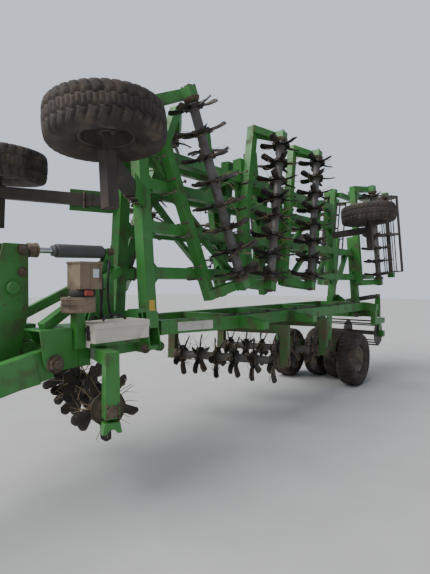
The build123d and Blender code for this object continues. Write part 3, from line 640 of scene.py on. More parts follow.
def tyre_shape(around=LUGS * 8, across=25):
    """Point(a, v) = radius(v) - depth * groove(a, v) at angle a, with v from bead to bead."""
    way = np.linalg.norm(np.diff(TYRE_SECTION * [TYRE_W / 2, 1], axis=0), axis=1)
    length = np.concatenate([[0], np.cumsum(way)])
    spots = np.linspace(0, 1, across) ** 0.8 * length[-1]
    share, radius = (np.interp(spots, length, column) for column in TYRE_SECTION.T)
    share = np.concatenate([share, -share[-2::-1]])
    radius = np.concatenate([radius, radius[-2::-1]])
    a, s = np.meshgrid(circle(around), share, indexing="ij")
    phase = a * LUGS / (2 * np.pi)
    wave = ZIGZAG * (4 * np.abs(phase % 1 - 0.5) - 1)
    long_groove = 1 - step(np.abs(np.abs(s) - GROOVE_AT - wave * np.sign(s)), *GROOVE_SLOPE)
    slant = (phase + SLANT * np.abs(s) + 0.5 * (s > 0)) % 1
    gap = step(slant, *GAP_OPENS) * (1 - step(slant, *GAP_CLOSES))
    shoulder = gap * step(np.abs(s), *SHOULDER_FROM) * step(radius[None, :], *WALL_TO)
    cut = 1 - step(np.abs(((2 * phase) % 1) - 0.5), *CUT_SLOPE)
    middle = MIDDLE_DEPTH * cut * (1 - step(np.abs(s), *MIDDLE_TO))
    groove = np.clip(np.maximum(np.maximum(long_groove, shoulder), middle), 0, 1)
    ring = radius[None, :] - TREAD_DEPTH * groove
    points = np.stack([ring * np.cos(a), ring * np.sin(a), s * TYRE_W / 2], -1).reshape(-1, 3)
    return points, [grid_faces(around, len(share), True, True)]


TYRE = tyre_shape()
print("a tyre has", len(TYRE[0]), "points")

# %% [markdown]
# One tyre serves all eight wheels, four under the rear of the frame and four on the wings. It is
# turned onto each wheel's own axis and takes the place of the plain ring in the solids.

# %% Tyres on the wheels
def wheel_places():
    """Each wheel body with its centre, its axis and its wing."""
    for body, joint in JOINTS.items():
        if body.startswith(("wheel", "gauge")):
            yield body, np.array(joint["pos_m"]), unit(joint["axis"]), section_of(body)


def wheel_node(body, part):
    """The node of a wheel body: transport_tyre_outer_left for wheel_outer_left, and so on."""
    return body.replace("wheel", f"transport_{part}").replace("gauge", f"gauge_{part}")


for body, centre, axis, wing in wheel_places():
    shape = placed(TYRE, centre, frame_of(axis))
    made = piece(f"{body}_tyre", shape, RUBBER, body, sharp=60, merge=False)
    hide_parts(wheel_node(body, "tyre"))
print("tyres on", sum(1 for place in wheel_places()), "wheels")

# %% [markdown]
# Rims. A pressed rim is a lip, a seat and a dish welded to a hub, so one closed profile swept
# round the axle makes it, and a ring of nuts and a hub cap finish it. The gauge wheels' rims take
# a darker copy of the transport rims' colour: painted shade, for the shade these wheels stand in.

# %% Rims and nuts
NUTS = 8
NUT_CIRCLE = 0.105
RIM_FACE = 0.012
RIM_PROFILE = [
    # (radius, height along the axle)
    (0.028, 0.052), (0.05, 0.052), (0.062, 0.044), (0.064, 0.018), (0.085, 0.012), (0.128, 0.012),
    (0.15, 0.03), (0.168, 0.06), (0.178, 0.082), (0.197, 0.086), (0.1995, 0.08),
    (0.1995, -0.08), (0.197, -0.086), (0.18, -0.082), (0.174, -0.03), (0.16, 0.008),
    (0.125, -0.004), (0.085, -0.004), (0.062, -0.02), (0.06, -0.052), (0.028, -0.052)]
CAP_PROFILE = [(0, 0.072), (0.02, 0.07), (0.034, 0.062), (0.04, 0.05), (0.04, 0.046), (0, 0.046)]


def bolt(radius, height):
    """A washer and a hexagon head with a chamfer, along z from 0."""
    nut = np.array([(0, 0.1), (1, 0.1), (1, 0.85), (0.82, 1), (0, 1)]) * [radius, height]
    return joined([drum(0, 1.45 * radius, 0, 0.18 * height, 10), revolved(nut, 6)])


def ring_of(shape, count, radius, height, start=0.0, flip=1):
    """Copies of a shape round a circle at a height: the point (r cos a, r sin a, h)."""
    angle = start + circle(count)
    x, y = radius * np.cos(angle), radius * np.sin(angle)
    places = np.column_stack([x, y, np.full(count, height)])
    return joined([moved((shape[0] * [1, 1, flip], shape[1]), place) for place in places])


RIM = joined([revolved(RIM_PROFILE, 64), revolved(CAP_PROFILE, 24)])
NUT_RING = ring_of(bolt(0.011, 0.018), NUTS, NUT_CIRCLE, RIM_FACE)
for body, centre, axis, wing in wheel_places():
    outward = wing or (1 if (centre[1] >= 0) == (axis[1] >= 0) else -1)
    facing = frame_of(outward * axis)
    # Gauge wheels on the wings take the darker rim finish, which is painted shade.
    finish = SHADED_RIM if wing else WHEEL
    made = piece(f"{body}_rim", placed(RIM, centre, facing), finish, body, sharp=30)
    piece(f"{body}_nuts", placed(NUT_RING, centre, facing), ZINC, body, sharp=20)
    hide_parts(wheel_node(body, "rim"))
print("rims with", NUTS, "nuts each")

# %% [markdown]
# The star rotors are what the machine is for, and the hardest shape on it. A star is five cast
# paddles clamped to a hub. A paddle leaves the hub narrow and thick, widens, and twists more and
# more towards a rounded tip, so that it digs and flicks the soil. The section is a flattened round
# carried out along the radius, and its width, thickness, forward bend and twist are all functions
# of how far out it is.

# %% A paddle
ROOT_R = 0.07
TWIST_ROOT = np.radians(18)
TWIST_TIP = np.radians(34)
ROOT_HALF = 0.027
WIDENING = 0.015
WIDEST = 0.042
ROOT_THICK = 0.011
THINNING = 0.004
BEND = 0.014
CUP = 0.008
TIP_GAP = 0.001


def rounded(angle, power):
    """The sides of a flattened round: cos and sin of the angle, each to a power, sign kept."""
    c, s = np.cos(angle), np.sin(angle)
    return np.sign(c) * np.abs(c) ** power, np.sign(s) * np.abs(s) ** power


def paddle(along=12, corners=12):
    """Section(u): half width w(u) and half thickness t(u) round the angle b, turned by the twist(u)
    and bent forward by f(u), at the radius ROOT_R + u times the length."""
    u = 1 - (1 - np.linspace(0, 1, along)) ** 1.7
    tip = np.sqrt(np.clip(1 - 0.93 * step(u, 0.8, 1.0) ** 3, 0.03, 1))
    width = (ROOT_HALF + WIDENING * step(u, 0.02, 0.45)) * tip
    thick = (ROOT_THICK - THINNING * u) * (0.45 + 0.55 * tip)
    twist = (TWIST_ROOT + (TWIST_TIP - TWIST_ROOT) * u ** 1.3)[:, None]
    bend = BEND * (step(u, 0.35, 1.0) ** 1.5)[:, None]
    b = circle(corners)
    y = width[:, None] * rounded(b, 0.6)[0]
    z = thick[:, None] * np.sin(b) + CUP * step(u, 0.3, 1.0)[:, None] * (y / WIDEST) ** 2
    x = np.broadcast_to((ROOT_R + u * (ROTOR_R - TIP_GAP - ROOT_R))[:, None], y.shape)
    across = y * np.cos(twist) - z * np.sin(twist)
    ahead = y * np.sin(twist) + z * np.cos(twist) + bend
    points = np.stack([x, across, ahead], -1).reshape(-1, 3)
    ring = np.arange(corners)
    caps = [ring[::-1][None, :], ((along - 1) * corners + ring)[None, :]]
    return points, [grid_faces(along, corners, False, True)] + caps


print("a paddle has", len(paddle()[0]), "points")

# %% [markdown]
# Five paddles are clamped to one cast hub by bolts that run right through. Seen along the shaft the
# hub is a pentagon with full corners, which fills the gaps between the paddles' roots.

# %% A star
BLADES = 5
HUB_R = 0.118
HUB_HALF = 0.018
BOLT_CIRCLE = 0.084


def hub():
    """The clamp between the paddles: a pentagon with full corners, HUB_R (1 - 0.2 sin squared)."""
    angle = circle(6 * BLADES)
    radius = HUB_R * (1 - 0.2 * np.sin(BLADES * angle / 2) ** 2)
    outline = np.column_stack([radius * np.cos(angle), radius * np.sin(angle)])
    return moved(plate(outline, 2 * HUB_HALF), [0, 0, -HUB_HALF])


def star():
    """Five paddles, their hub and the bolts through it."""
    blade, nut = paddle(), bolt(0.01, 0.014)
    half = np.pi / BLADES
    blades = [turned(blade, half + angle) for angle in circle(BLADES)]
    bolts = [ring_of(nut, BLADES, BOLT_CIRCLE, face * HUB_HALF, half, face) for face in SIDES]
    return joined(blades + [hub()] + bolts)


STAR = star()
print("a star has", len(STAR[0]), "points")

# %% [markdown]
# A row of stars stands on one shaft, each turned on a little from the last, because then only a few
# tips strike the ground at once and the pull stays even. The shaft is one swept profile: a tube
# with a collar at every star, and a stub that runs through the bearing at each end.

# %% Star rotors
STAR_TURN = np.radians(29)
STUB_R = 0.026
STUB_GAP = 0.003
COLLAR = [
    # (radius, distance along the shaft from the star)
    (0.049, -0.036), (0.062, -0.034), (0.064, -0.028), (0.064, 0.0), (0.064, 0.028),
    (0.062, 0.034), (0.049, 0.036)]


def shaft(stars):
    """The shaft: one tube with a collar at every star, and a stub at each end."""
    half = (stars - 1) * STAR_PITCH / 2
    end = half + SHAFT_END
    reach = end + SIDE_GAP + END_BEARING + END_ARM - STUB_GAP
    profile = [(0, -reach), (STUB_R, -reach), (STUB_R, -end), (0.046, -end)]
    for spot in np.arange(stars) * STAR_PITCH - half:
        profile += [(radius, spot + along) for radius, along in COLLAR]
    profile += [(0.046, end), (STUB_R, end), (STUB_R, reach), (0, reach)]
    return revolved(profile, 24)


def stars_row(stars):
    """The stars of a rotor, each turned a little further than the one before."""
    return joined([moved(turned(STAR, k * STAR_TURN), [0, 0, (k - (stars - 1) / 2) * STAR_PITCH])
                   for k in range(stars)])


ROTOR_SHAPES = {stars: (stars_row(stars), shaft(stars)) for stars in (6, 7, 8)}
for body in ROTORS:
    stars, tube = (on_joint(shape, body) for shape in ROTOR_SHAPES[stars_of(body)])
    made = piece(f"{body}_stars", stars, IRON, body, sharp=45)
    core = piece(f"{body}_shaft", tube, SHAFT, body, sharp=30)
    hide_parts(body)
    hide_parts(body)
print("rotor points:", {n: len(shape[0][0]) for n, shape in ROTOR_SHAPES.items()})

# %% [markdown]
# Cage rollers follow the rotors and crush what they leave. Bars are welded round three discs.
# A bar is a rounded flat with its narrow side outwards, and the discs have a rolled edge.

# %% Cage rollers
CAGE_BARS = 8
RING_R = 0.221
DISC_INSET = 0.012
CAGE_STUB = 0.086
ROLLER_LENGTH = {"roller_centre": 1.18, "roller_left": 1.48, "roller_right": 1.48}
DISC = revolved([
    (0.036, -0.005), (0.075, -0.005), (0.08, -0.003), (RING_R - 0.02, -0.003),
    (RING_R - 0.012, -0.007), (RING_R - 0.002, -0.006), (RING_R - 0.002, 0.006),
    (RING_R - 0.012, 0.007), (RING_R - 0.02, 0.003), (0.08, 0.003), (0.075, 0.005),
    (0.036, 0.005)], 40)


def cage_shape(length):
    """Eight rounded bars on the ring, three discs and the shaft of one roller."""
    half = length / 2
    x, y = rounded(circle(12), 0.5)
    bar = moved(plate(np.column_stack([0.014 * x, 0.007 * y]), length), [RING_R, 0, -half])
    bars = [turned(bar, angle) for angle in circle(CAGE_BARS)]
    discs = [moved(DISC, [0, 0, height]) for height in (DISC_INSET - half, 0.0, half - DISC_INSET)]
    reach = half + CAGE_STUB
    core = revolved([(0, -reach), (STUB_R, -reach), (STUB_R, -half), (0.04, -half),
                     (0.04, half), (STUB_R, half), (STUB_R, reach), (0, reach)], 24)
    return joined(bars + discs + [core])


for body, length in ROLLER_LENGTH.items():
    made = piece(f"{body}_cage", on_joint(cage_shape(length), body), CAGE, body)
    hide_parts(body)
print("rollers", ROLLER_LENGTH)

# %% [markdown]
# Pipes and bent rods. A round section is carried along a path, and the path is either given corner
# by corner or is a smooth curve pulled towards a few corners, as a hose hangs.

# %% Pipes and bends
def pipe(path, radius, sides=12):
    """A round section carried along a path: each ring is the path point plus radius times
    cos a and sin a along two directions square to the path, and both ends are closed."""
    path = np.asarray(path, float)
    along = np.gradient(path, axis=0)
    along /= np.linalg.norm(along, axis=1, keepdims=True)
    across = np.cross(along, unit(np.array([0.31, 0.17, 0.93])))
    across /= np.linalg.norm(across, axis=1, keepdims=True)
    other = np.cross(along, across)
    angle = circle(sides)[None, :, None]
    ring = np.cos(angle) * across[:, None] + np.sin(angle) * other[:, None]
    radius = np.broadcast_to(radius, (len(path),))
    points = (path[:, None] + radius[:, None, None] * ring).reshape(-1, 3)
    end = (len(path) - 1) * sides
    caps = [np.arange(sides)[None, :], (end + np.arange(sides)[::-1])[None, :]]
    return points, [grid_faces(len(path), sides, False, True)] + caps


def bent(corners, count):
    """A smooth path drawn towards a few corners: a uniform cubic B-spline that keeps both ends."""
    corners = np.asarray(corners, float)
    padded = np.vstack([2 * corners[0] - corners[1], corners, 2 * corners[-1] - corners[-2]])
    t = np.linspace(0, len(corners) - 1 - 1e-9, count)
    k = t.astype(int)
    f = (t - k)[:, None]
    a, b, c = padded[k], padded[k + 1], padded[k + 2]
    d = padded[np.minimum(k + 3, len(padded) - 1)]
    return ((1 - f) ** 3 * a + (3 * f**3 - 6 * f**2 + 4) * b
            + (-3 * f**3 + 3 * f**2 + 3 * f + 1) * c + f**3 * d) / 6


def u_bolt(width, depth, rod=0.008, bend=0.022, steps=6):
    """A rod bent round a box: leg, quarter circle, top, quarter circle, leg, with two nuts."""
    half = width / 2
    a = np.linspace(np.pi, np.pi / 2, steps)
    left = np.column_stack([-half + bend + bend * np.cos(a), np.zeros(steps),
                            depth - bend + bend * np.sin(a)])
    path = np.vstack([[[-half, 0, 0]], left, left[::-1] * [-1, 1, 1], [[half, 0, 0]]])
    points, faces = bolt(0.014, 0.014)
    nuts = [(points * [1, 1, -1] + [side * half, 0, 0.016], faces) for side in SIDES]
    return joined([pipe(path, rod, 8)] + nuts)


print("a bend of 3 corners starts at", bent([(0, 0, 0), (1, 0, 0), (1, 1, 0)], 5)[0])

# %% [markdown]
# Fastenings. Carriers hang under the wing bars on U-bolts, because a bolted gang can be taken off
# to change a worn star. Each goes where a carrier passes under a bar, so its station is worked out
# from the gang's place and skew.

# %% U-bolts on the wings
GANG_PLACES = {
    # row: (station, skew in degrees with the left end ahead)
    1: (3.85, 20), 2: (5.0, -15), 3: (6.03, -15), 4: (8.57, 0)}
BAR_LINES = {
    # distance of a bar from the middle: the station where it ends
    1.0: 8.3, 1.44: 8.3, 1.86: 7.4, 2.19: 7.4}
BAR_FRONT = 3.25
BAR_END_ROOM = 0.12
GANG_SIDE = 1.8
AHEAD = 0.28
LOOP_GAP = 0.078
LOOP_FOOT = 0.94
LOOP = u_bolt(0.13, 0.215)
QUARTER = np.array([[0, 1, 0], [-1, 0, 0], [0, 0, 1.0]]).T


def carrier_station(row, distance, side):
    """Where the carrier of a row passes under a bar: s = s0 - a cos k - t sin k, with t from y."""
    station, skew = GANG_PLACES[row]
    turn = np.radians(skew)
    middle = side * GANG_SIDE - AHEAD * np.sin(turn)
    t = (side * distance - middle) / np.cos(turn)
    return station - AHEAD * np.cos(turn) - t * np.sin(turn)


for wing, side in WINGS.items():
    loops = []
    for row in GANG_PLACES:
        for distance, last in BAR_LINES.items():
            station = carrier_station(row, distance, side)
            if BAR_FRONT < station < last - BAR_END_ROOM:
                loops += [placed(LOOP, at(station + gap, side * distance, LOOP_FOOT), QUARTER)
                          for gap in (-LOOP_GAP, LOOP_GAP)]
    piece(f"u_bolts_{wing}", on_wing(joined(loops), side), ZINC, f"wing_{wing}", sharp=30)
    print(len(loops), "U-bolts on the", wing)

# %% [markdown]
# Corner plates. Where a bar meets a post the welder sets a small triangle into the corner,
# because the post wants to rack when the gang hits a stone. They are plain flat outlines
# given a thickness, one set for each bay.

# %% Corner plates
WING_STATIONS = (3.15, 4.81, 5.66, 7.4, 8.3)
POST_HALF = 0.06
BAR_HALF = 0.055
GUSSET = 0.085
GUSSET_THICK = 0.012
GUSSET_Z = WING_MID - 0.016


def bay_gussets(distance, near, far, side):
    """The four triangles where a bar at a distance meets the posts at both ends of a bay."""
    for station, along in ((near + POST_HALF, 1), (far - POST_HALF, -1)):
        for out in SIDES:
            x, edge = EYE_X - station, distance + out * BAR_HALF
            outline = [(x, side * edge), (x - along * GUSSET, side * edge),
                       (x, side * (edge + out * GUSSET))]
            yield moved(plate(outline, GUSSET_THICK), [0, 0, GUSSET_Z])


BAYS = list(zip(WING_STATIONS, WING_STATIONS[1:]))
for wing, side in WINGS.items():
    plates = [gusset for distance, last in BAR_LINES.items() for near, far in BAYS if far <= last
              for gusset in bay_gussets(distance, near, far, side)]
    piece(f"corner_plates_{wing}", on_wing(joined(plates), side), GREEN, f"wing_{wing}", sharp=20)
    print(len(plates), "corner plates on the", wing)

# %% [markdown]
# Housings at the rotor ends. Each end arm holds a cast flange bearing: a round boss with a
# greased cap, four bolts, and a seal ring towards the star. A profile swept round the rotor's
# own axis makes it, so it sits where the joint is.

# %% Rotor bearings
SEAL_REACH = 0.007
CONE = revolved([(0.05, 0.002), (0.06, 0), (0.072, 0.012), (0.082, 0.03), (0.084, 0.047),
                 (0.079, 0.0475), (0.05, 0.0475)], 36)
COVER = revolved([(0, 0), (0.046, 0), (0.046, 0.008), (0.038, 0.014), (0.02, 0.018),
                  (0, 0.019)], 28)
FLANGE = joined([COVER, ring_of(bolt(0.01, 0.012), 4, 0.062, 0.0, np.pi / 4)])
for body, joint in ROTORS.items():
    inner = end_of(body)
    outer = inner + END_BEARING + END_ARM
    housing = joined([moved(FLANGE, [0, 0, outer]), moved(CONE, [0, 0, inner - SEAL_REACH])])
    both = joined([on_joint(housing, body, way) for way in SIDES])
    piece(f"{body}_bearings", both, BEARING, joint["parent"], sharp=30)
print("bearing covers on both ends of", len(ROTORS), "rotors")

# %% [markdown]
# Gauge wheel legs. The real leg is an old dark box held to the green post by two U-bolts and a
# clamp plate, so the wheel can be set deeper. The leg in the solid is one beam; the scene sleeves
# it in a slightly larger dark tube with an open collar, and adds the clamp.

# %% Legs and clamps
LEG_SIDE = 1.7
LEG_FOOT = (2.252, TYRE_R + 0.01)
LEG_TOP = (3.12, WING_MID)
TUBE_START = 0.055
TUBE_SHARE = 0.72
TUBE_OUTER = 0.112
TUBE_WALL = 0.006
LOOP_SHARES = (0.7, 0.86)
LOOP_BACK = 0.066
CLAMP_SHARE = 0.66
CLAMP_BACK = 0.07
CLAMP = plate([(-0.105, -0.1), (0.105, -0.1), (0.105, 0.3), (0.07, 0.36), (-0.07, 0.36),
               (-0.105, 0.3)], 0.014)
LEG_LOOP = u_bolt(0.126, 0.135, 0.009)


def box_tube(length, outer, wall):
    """A square tube along z: outer and inner square rings, joined at both ends."""
    half = outer / 2
    profile = [(half, 0), (half, length), (half - wall, length), (half - wall, 0)]
    points = np.array([[r * x, r * y, z] for r, z in profile
                       for x, y in ((1, 1), (-1, 1), (-1, -1), (1, -1))])
    return points, [grid_faces(4, 4, True, True)]


for wing, side in WINGS.items():
    body = f"wing_{wing}"
    low = at(LEG_FOOT[0], side * LEG_SIDE, LEG_FOOT[1])
    high = at(LEG_TOP[0], side * LEG_SIDE, LEG_TOP[1])
    length = np.linalg.norm(high - low)
    run = unit(high - low)
    axes = frame_of(run)
    back, flat = axes[:, 0], axes[:, [1, 2, 0]]
    tube = box_tube(TUBE_SHARE * length, TUBE_OUTER, TUBE_WALL)
    tube = on_wing(placed(tube, low + run * TUBE_START, axes), side)
    piece(f"gauge_leg_{wing}", tube, LEG, body, edge=0.005)
    loops = joined([placed(LEG_LOOP, low + run * share * length - back * LOOP_BACK, flat)
                    for share in LOOP_SHARES])
    piece(f"leg_loops_{wing}", on_wing(loops, side), ZINC, body, sharp=30)
    clamp = placed(CLAMP, low + run * CLAMP_SHARE * length - back * CLAMP_BACK, flat)
    piece(f"leg_plate_{wing}", on_wing(clamp, side), GREEN, body, edge=0.003)
print("legs", round(float(length), 3), "m long")

# %% [markdown]
# Pins and nuts on the frame. The wings turn on long pins whose ends carry a round head and a lock
# nut, and the drawbar's pivots carry the biggest nuts on the machine, rusty and tan with dust.
# The tower has a second pin, and a round boss on each face.

# %% Pin heads
ALONG, ACROSS = np.eye(3)[:2]
PIVOT = (2.1, 0.3, 1.08)
TOWER_PIN = (2.04, 0.0, 1.93)
MAST_PIN = (2.87, 0.0, 1.955)
PINS = [
    # (radius and height of a head, reach and axis of the pin, middles as (station, side, height)):
    # the wings' hinges, the drawbar's pivots, the walking arms, the fold cylinders and the mast
    (0.03, 0.034, 0.096, ALONG,
     [(s, side * HINGE_Y, HINGE_Z) for s in (3.15, 8.3) for side in SIDES]),
    (0.045, 0.05, 0.087, ACROSS, [(PIVOT[0], 0.307, PIVOT[2]), (PIVOT[0], -0.307, PIVOT[2])]),
    (0.042, 0.036, 0.062, ACROSS, [(6.7, 0.395, 0.72), (6.7, -0.395, 0.72)]),
    (0.024, 0.026, 0.0355, ALONG, [(3.0, -0.6, 1.42), (8.45, 0.6, 1.42)]),
    (0.024, 0.026, 0.0355, ACROSS, [MAST_PIN])]
TOWER_PINS = [
    (0.03, 0.034, 0.0485, ACROSS, [TOWER_PIN]), (0.026, 0.034, 0.0485, ACROSS, [(2.035, 0, 1.757)])]
BOSS = revolved([(0, 0), (0.05, 0), (0.05, 0.03), (0.044, 0.038), (0, 0.04)], 36)
BOSS_PLACE = (1.955, 0, 1.635)
BOSS_REACH = 0.0475


def head(radius, height):
    """A thick washer, a hexagon nut and the rounded end of the pin through it, along z."""
    washer = drum(0, 1.5 * radius, 0, 0.22 * height, 28)
    nut = np.array([(0, 0.2), (1.25, 0.2), (1.25, 0.75), (1.05, 0.85), (0, 0.85)])
    end = np.array([(0, 0.8), (0.7, 0.8), (0.7, 1.1), (0.55, 1.2), (0, 1.2)])
    size = [radius, height]
    return joined([washer, revolved(nut * size, 6), revolved(end * size, 20)])


def both_ends(shape, middle, axis, reach):
    """A shape at the middle plus and minus reach times the axis, facing outwards."""
    return joined([placed(shape, at(*middle) + way * reach * axis, frame_of(way * axis))
                   for way in SIDES])


def pin_heads(rows):
    """The heads at both ends of every pin in a table."""
    return joined([both_ends(head(radius, height), middle, axis, reach)
                   for radius, height, reach, axis, middles in rows for middle in middles])


piece("pin_heads", pin_heads(PINS), BEARING, sharp=30)
piece("tower_pin_heads", pin_heads(TOWER_PINS), BEARING, "drawbar", sharp=30)
bosses = both_ends(BOSS, BOSS_PLACE, ACROSS, BOSS_REACH)
piece("tower_bosses", bosses, GREEN, "drawbar", sharp=30)
print(sum(len(row[-1]) for row in PINS + TOWER_PINS), "pins with a head at each end")

# %% [markdown]
# Cheeks and struts. The drawbar turns between tall cheeks that stand above the frame, and two
# square struts carry the pull from there to the mast. Each is a flat outline in stations and
# heights, a block, or a square bar between two points.

# %% Cheeks and struts
CHEEK = [
    # (station, height)
    (1.985, 1.33), (2.25, 1.33), (2.25, 1.17), (2.32, 1.17), (2.32, 1.03), (2.085, 1.02),
    (2.03, 1.06), (2.01, 1.13)]
INNER_CHEEK = [(2.0, 1.322), (2.25, 1.322), (2.25, 1.2), (2.08, 1.2)]
CHEEK_THICK = 0.012
CHEEK_INSIDE = 0.15
CHEEK_OUTSIDE = 0.3805
STRUT = ((2.06, 0.29, 1.34), (2.93, 0.075, 1.79))


def upright(corners, side, thickness):
    """A plate in stations and heights from a side outwards: x = eye - s, y = side + t, z = h."""
    corners = np.asarray(corners, float)
    outline = np.column_stack([EYE_X - corners[:, 0], corners[:, 1]])
    points, faces = plate(outline, thickness)
    return np.column_stack([points[:, 0], side + points[:, 2], points[:, 1]]), faces


def square_bar(start, end, width, height):
    """A rectangle carried from one point to another."""
    w, h = width / 2, height / 2
    outline = [(-h, -w), (h, -w), (h, w), (-h, w)]
    return placed(plate(outline, np.linalg.norm(end - start)), start, frame_of(end - start))


def block(low, high):
    """A six-sided block between two corners, as an outline with walls."""
    low, high = np.minimum(low, high), np.maximum(low, high)
    outline = [(low[0], low[1]), (high[0], low[1]), (high[0], high[1]), (low[0], high[1])]
    return moved(plate(outline, high[2] - low[2]), [0, 0, low[2]])


cheeks, struts = [], []
for side in SIDES:
    thick = 0 if side > 0 else CHEEK_THICK
    cheeks += [
        upright(CHEEK, side * CHEEK_OUTSIDE - thick, CHEEK_THICK),
        upright(INNER_CHEEK, side * CHEEK_INSIDE - thick, CHEEK_THICK),
        block(at(1.99, side * CHEEK_INSIDE, 1.32), at(2.25, side * CHEEK_OUTSIDE, 1.332))]
    foot, top = (at(station, side * out, height) for station, out, height in STRUT)
    struts.append(square_bar(foot, top, 0.07, 0.08))
piece("pivot_cheeks", joined(cheeks), GREEN, edge=0.004, sharp=25)
piece("mast_struts", joined(struts), GREEN, edge=0.005, sharp=25)
print(len(cheeks), "cheek plates,", len(struts), "struts")

# %% [markdown]
# The tower's sides and the drawbar's flares. Broad plates stiffen the tower, and a flared plate
# lies on the outer face of each drawbar beam, where it widens to its pivot.

# %% Tower sides and flares
TOWER_SIDE = [
    # (station, height)
    (1.66, 1.062), (2.0, 1.062), (2.085, 1.45), (2.085, 1.975), (1.89, 1.975)]
DRAW_END = (0.25, 0.075, 0.65)
FLARE = [
    # (across the beam, along it from the pivot)
    (-0.12, 0.105), (0.12, 0.105), (0.085, 0.52), (0.0, 0.64), (-0.085, 0.52)]
FLARE_THICK = 0.01
BEAM_HALF = 0.0502

tower_sides = [upright(TOWER_SIDE, side, 0.012) for side in (0.0362, -0.0482)]
piece("tower_sides", joined(tower_sides), GREEN, "drawbar", edge=0.004, sharp=25)
flares = []
for side in SIDES:
    pivot, end = (at(station, side * out, height) for station, out, height in (PIVOT, DRAW_END))
    up, _, along = frame_of(end - pivot).T
    normal = np.cross(up, along)
    out = 1 if normal[1] * side > 0 else -1
    shape = plate(FLARE, FLARE_THICK * out)
    face = np.column_stack([up, along, normal])
    flares.append(placed(shape, pivot + normal * out * BEAM_HALF, face))
piece("drawbar_flares", joined(flares), GREEN, "drawbar", edge=0.003, sharp=25)
print(len(tower_sides), "tower sides,", len(flares), "flares")

# %% [markdown]
# The top cylinder. A dark sleeve covers the barrel, and at the tower end the rod carries a tan
# adjusting nut between two discs. All of it is round about the cylinder's own line.

# %% Top cylinder fittings
ROD_R = 0.0245

mast, tower = at(*MAST_PIN), at(*TOWER_PIN)
line = frame_of(tower - mast)
sleeve = revolved([(0.046, 0.07), (0.056, 0.074), (0.058, 0.08), (0.058, 0.52), (0.056, 0.526),
                   (0.046, 0.53)], 40)
gland = revolved([(0.03, 0.54), (0.047, 0.54), (0.047, 0.556), (0.04, 0.56), (0.03, 0.56)], 32)
piece("top_sleeve", placed(joined([sleeve, gland]), mast, line), SLEEVE, "top_cylinder")
adjuster = joined([
    drum(ROD_R, 0.06, 0.695, 0.707, 28),
    revolved([(ROD_R, 0.71), (0.052, 0.71), (0.056, 0.717), (0.056, 0.745), (0.052, 0.752),
              (ROD_R, 0.752)], 6),
    drum(ROD_R, 0.058, 0.755, 0.767, 28)])
piece("top_adjuster", placed(adjuster, mast, line), TAN, "top_rod", sharp=25)
print("top link", round(float(np.linalg.norm(tower - mast)), 3), "m")

# %% [markdown]
# The tool box. The lid overhangs the body by a lip all round and closes on two black latches at
# the front end. Latches are small bevelled plates; a bent black handle arches over the lid.

# %% Tool box
LID_H = 0.045
LID_WIDE = 0.264
LID_OVER = 0.006
LIP = 0.003
LATCHES_IN = (0.19, 0.075)
LATCH = [
    # (near end, far end, half width, bottom and top from the lid's underside)
    (0.0, 0.01, 0.014, -0.06, 0.03), (0.008, 0.02, 0.018, -0.02, 0.012),
    (0.0, 0.006, 0.02, -0.085, -0.05)]
HANDLE_Y = 0.4
HANDLE = [
    # (station, height above the box)
    (2.52, 0), (2.53, 0.035), (2.6, 0.058), (2.7, 0.045), (2.74, 0.02), (2.75, 0)]

BOX_LOW, BOX_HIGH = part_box("tool_box")
low = np.array([BOX_LOW[0] - 0.004, BOX_HIGH[1] - LID_WIDE, BOX_HIGH[2] - LID_H])
high = np.array(BOX_HIGH) + LID_OVER
piece("tool_box_lid", block(low, high), GREY_BOX, edge=0.01)
lip = block(low - [LIP, LIP, 2 * LIP], [high[0] + LIP, high[1] + LIP, low[2] + 0.004])
piece("tool_box_lip", lip, GREY_BOX, edge=0.003)
latches = [block([high[0] + near, BOX_HIGH[1] - inside - half, low[2] + bottom],
                 [high[0] + far, BOX_HIGH[1] - inside + half, low[2] + top])
           for inside in LATCHES_IN for near, far, half, bottom, top in LATCH]
piece("tool_box_latches", joined(latches), BLACK, edge=0.003)
handle = bent(route([(station, HANDLE_Y, BOX_HIGH[2] + height) for station, height in HANDLE]), 28)
piece("tool_box_handle", pipe(handle, 0.01), BLACK)
print("tool box", (BOX_HIGH - BOX_LOW)[:])

# %% [markdown]
# The hydraulic unit stands beside the box: a tan housing on a black ring over a round drum.
# Ribs, a lid line and a blank label break up the plain faces, as on a cast and pressed housing.

# %% Hydraulic unit
RED = worn("faded_red", (300, 45, 30), (360, 80, 55), (120, 60, 45), dirty=0.4, rough=0.5)
LABEL = worn("blank_label", (620, 660, 700), (550, 590, 630), (400, 380, 340),
             dirty=0.25, rough=0.5)
DRUM_PLACE = at(2.265, 0.445, 1.455)
RING_PLACE = at(2.285, 0.465, 1.567)
HOUSING_LOW = at(2.395, 0.39, 1.628)
HOUSING_HIGH = at(2.205, 0.56, 1.828)
HOUSING_LONG = 0.19
RIB_HALF = 0.005
PROUD = 0.006

bands = [revolved([(0.118, z), (0.129, z + 0.004), (0.129, z + 0.012), (0.118, z + 0.016)], 48)
         for z in (0.006, 0.052, 0.09)]
piece("drum_bands", placed(joined(bands), DRUM_PLACE), TAN)
ring = revolved([(0.08, 0.004), (0.094, 0.006), (0.098, 0.02), (0.098, 0.04), (0.092, 0.056),
                 (0.08, 0.058)], 40)
piece("unit_ring", placed(ring, RING_PLACE), BLACK)
piece("unit_lever", block(at(2.3, 0.56, 1.58), at(2.235, 0.59, 1.618)), RED, edge=0.006)
x, y, z = HOUSING_LOW
wide = HOUSING_HIGH[1] + PROUD
lid = block([x - PROUD, y - PROUD, z + 0.186],
            [HOUSING_HIGH[0] + PROUD, wide, HOUSING_HIGH[2] + 0.004])
ribs = [block([x + share * HOUSING_LONG - RIB_HALF, y - PROUD, z + 0.012],
              [x + share * HOUSING_LONG + RIB_HALF, wide, HOUSING_HIGH[2] - 0.02])
        for share in (0.08, 0.5, 0.92)]
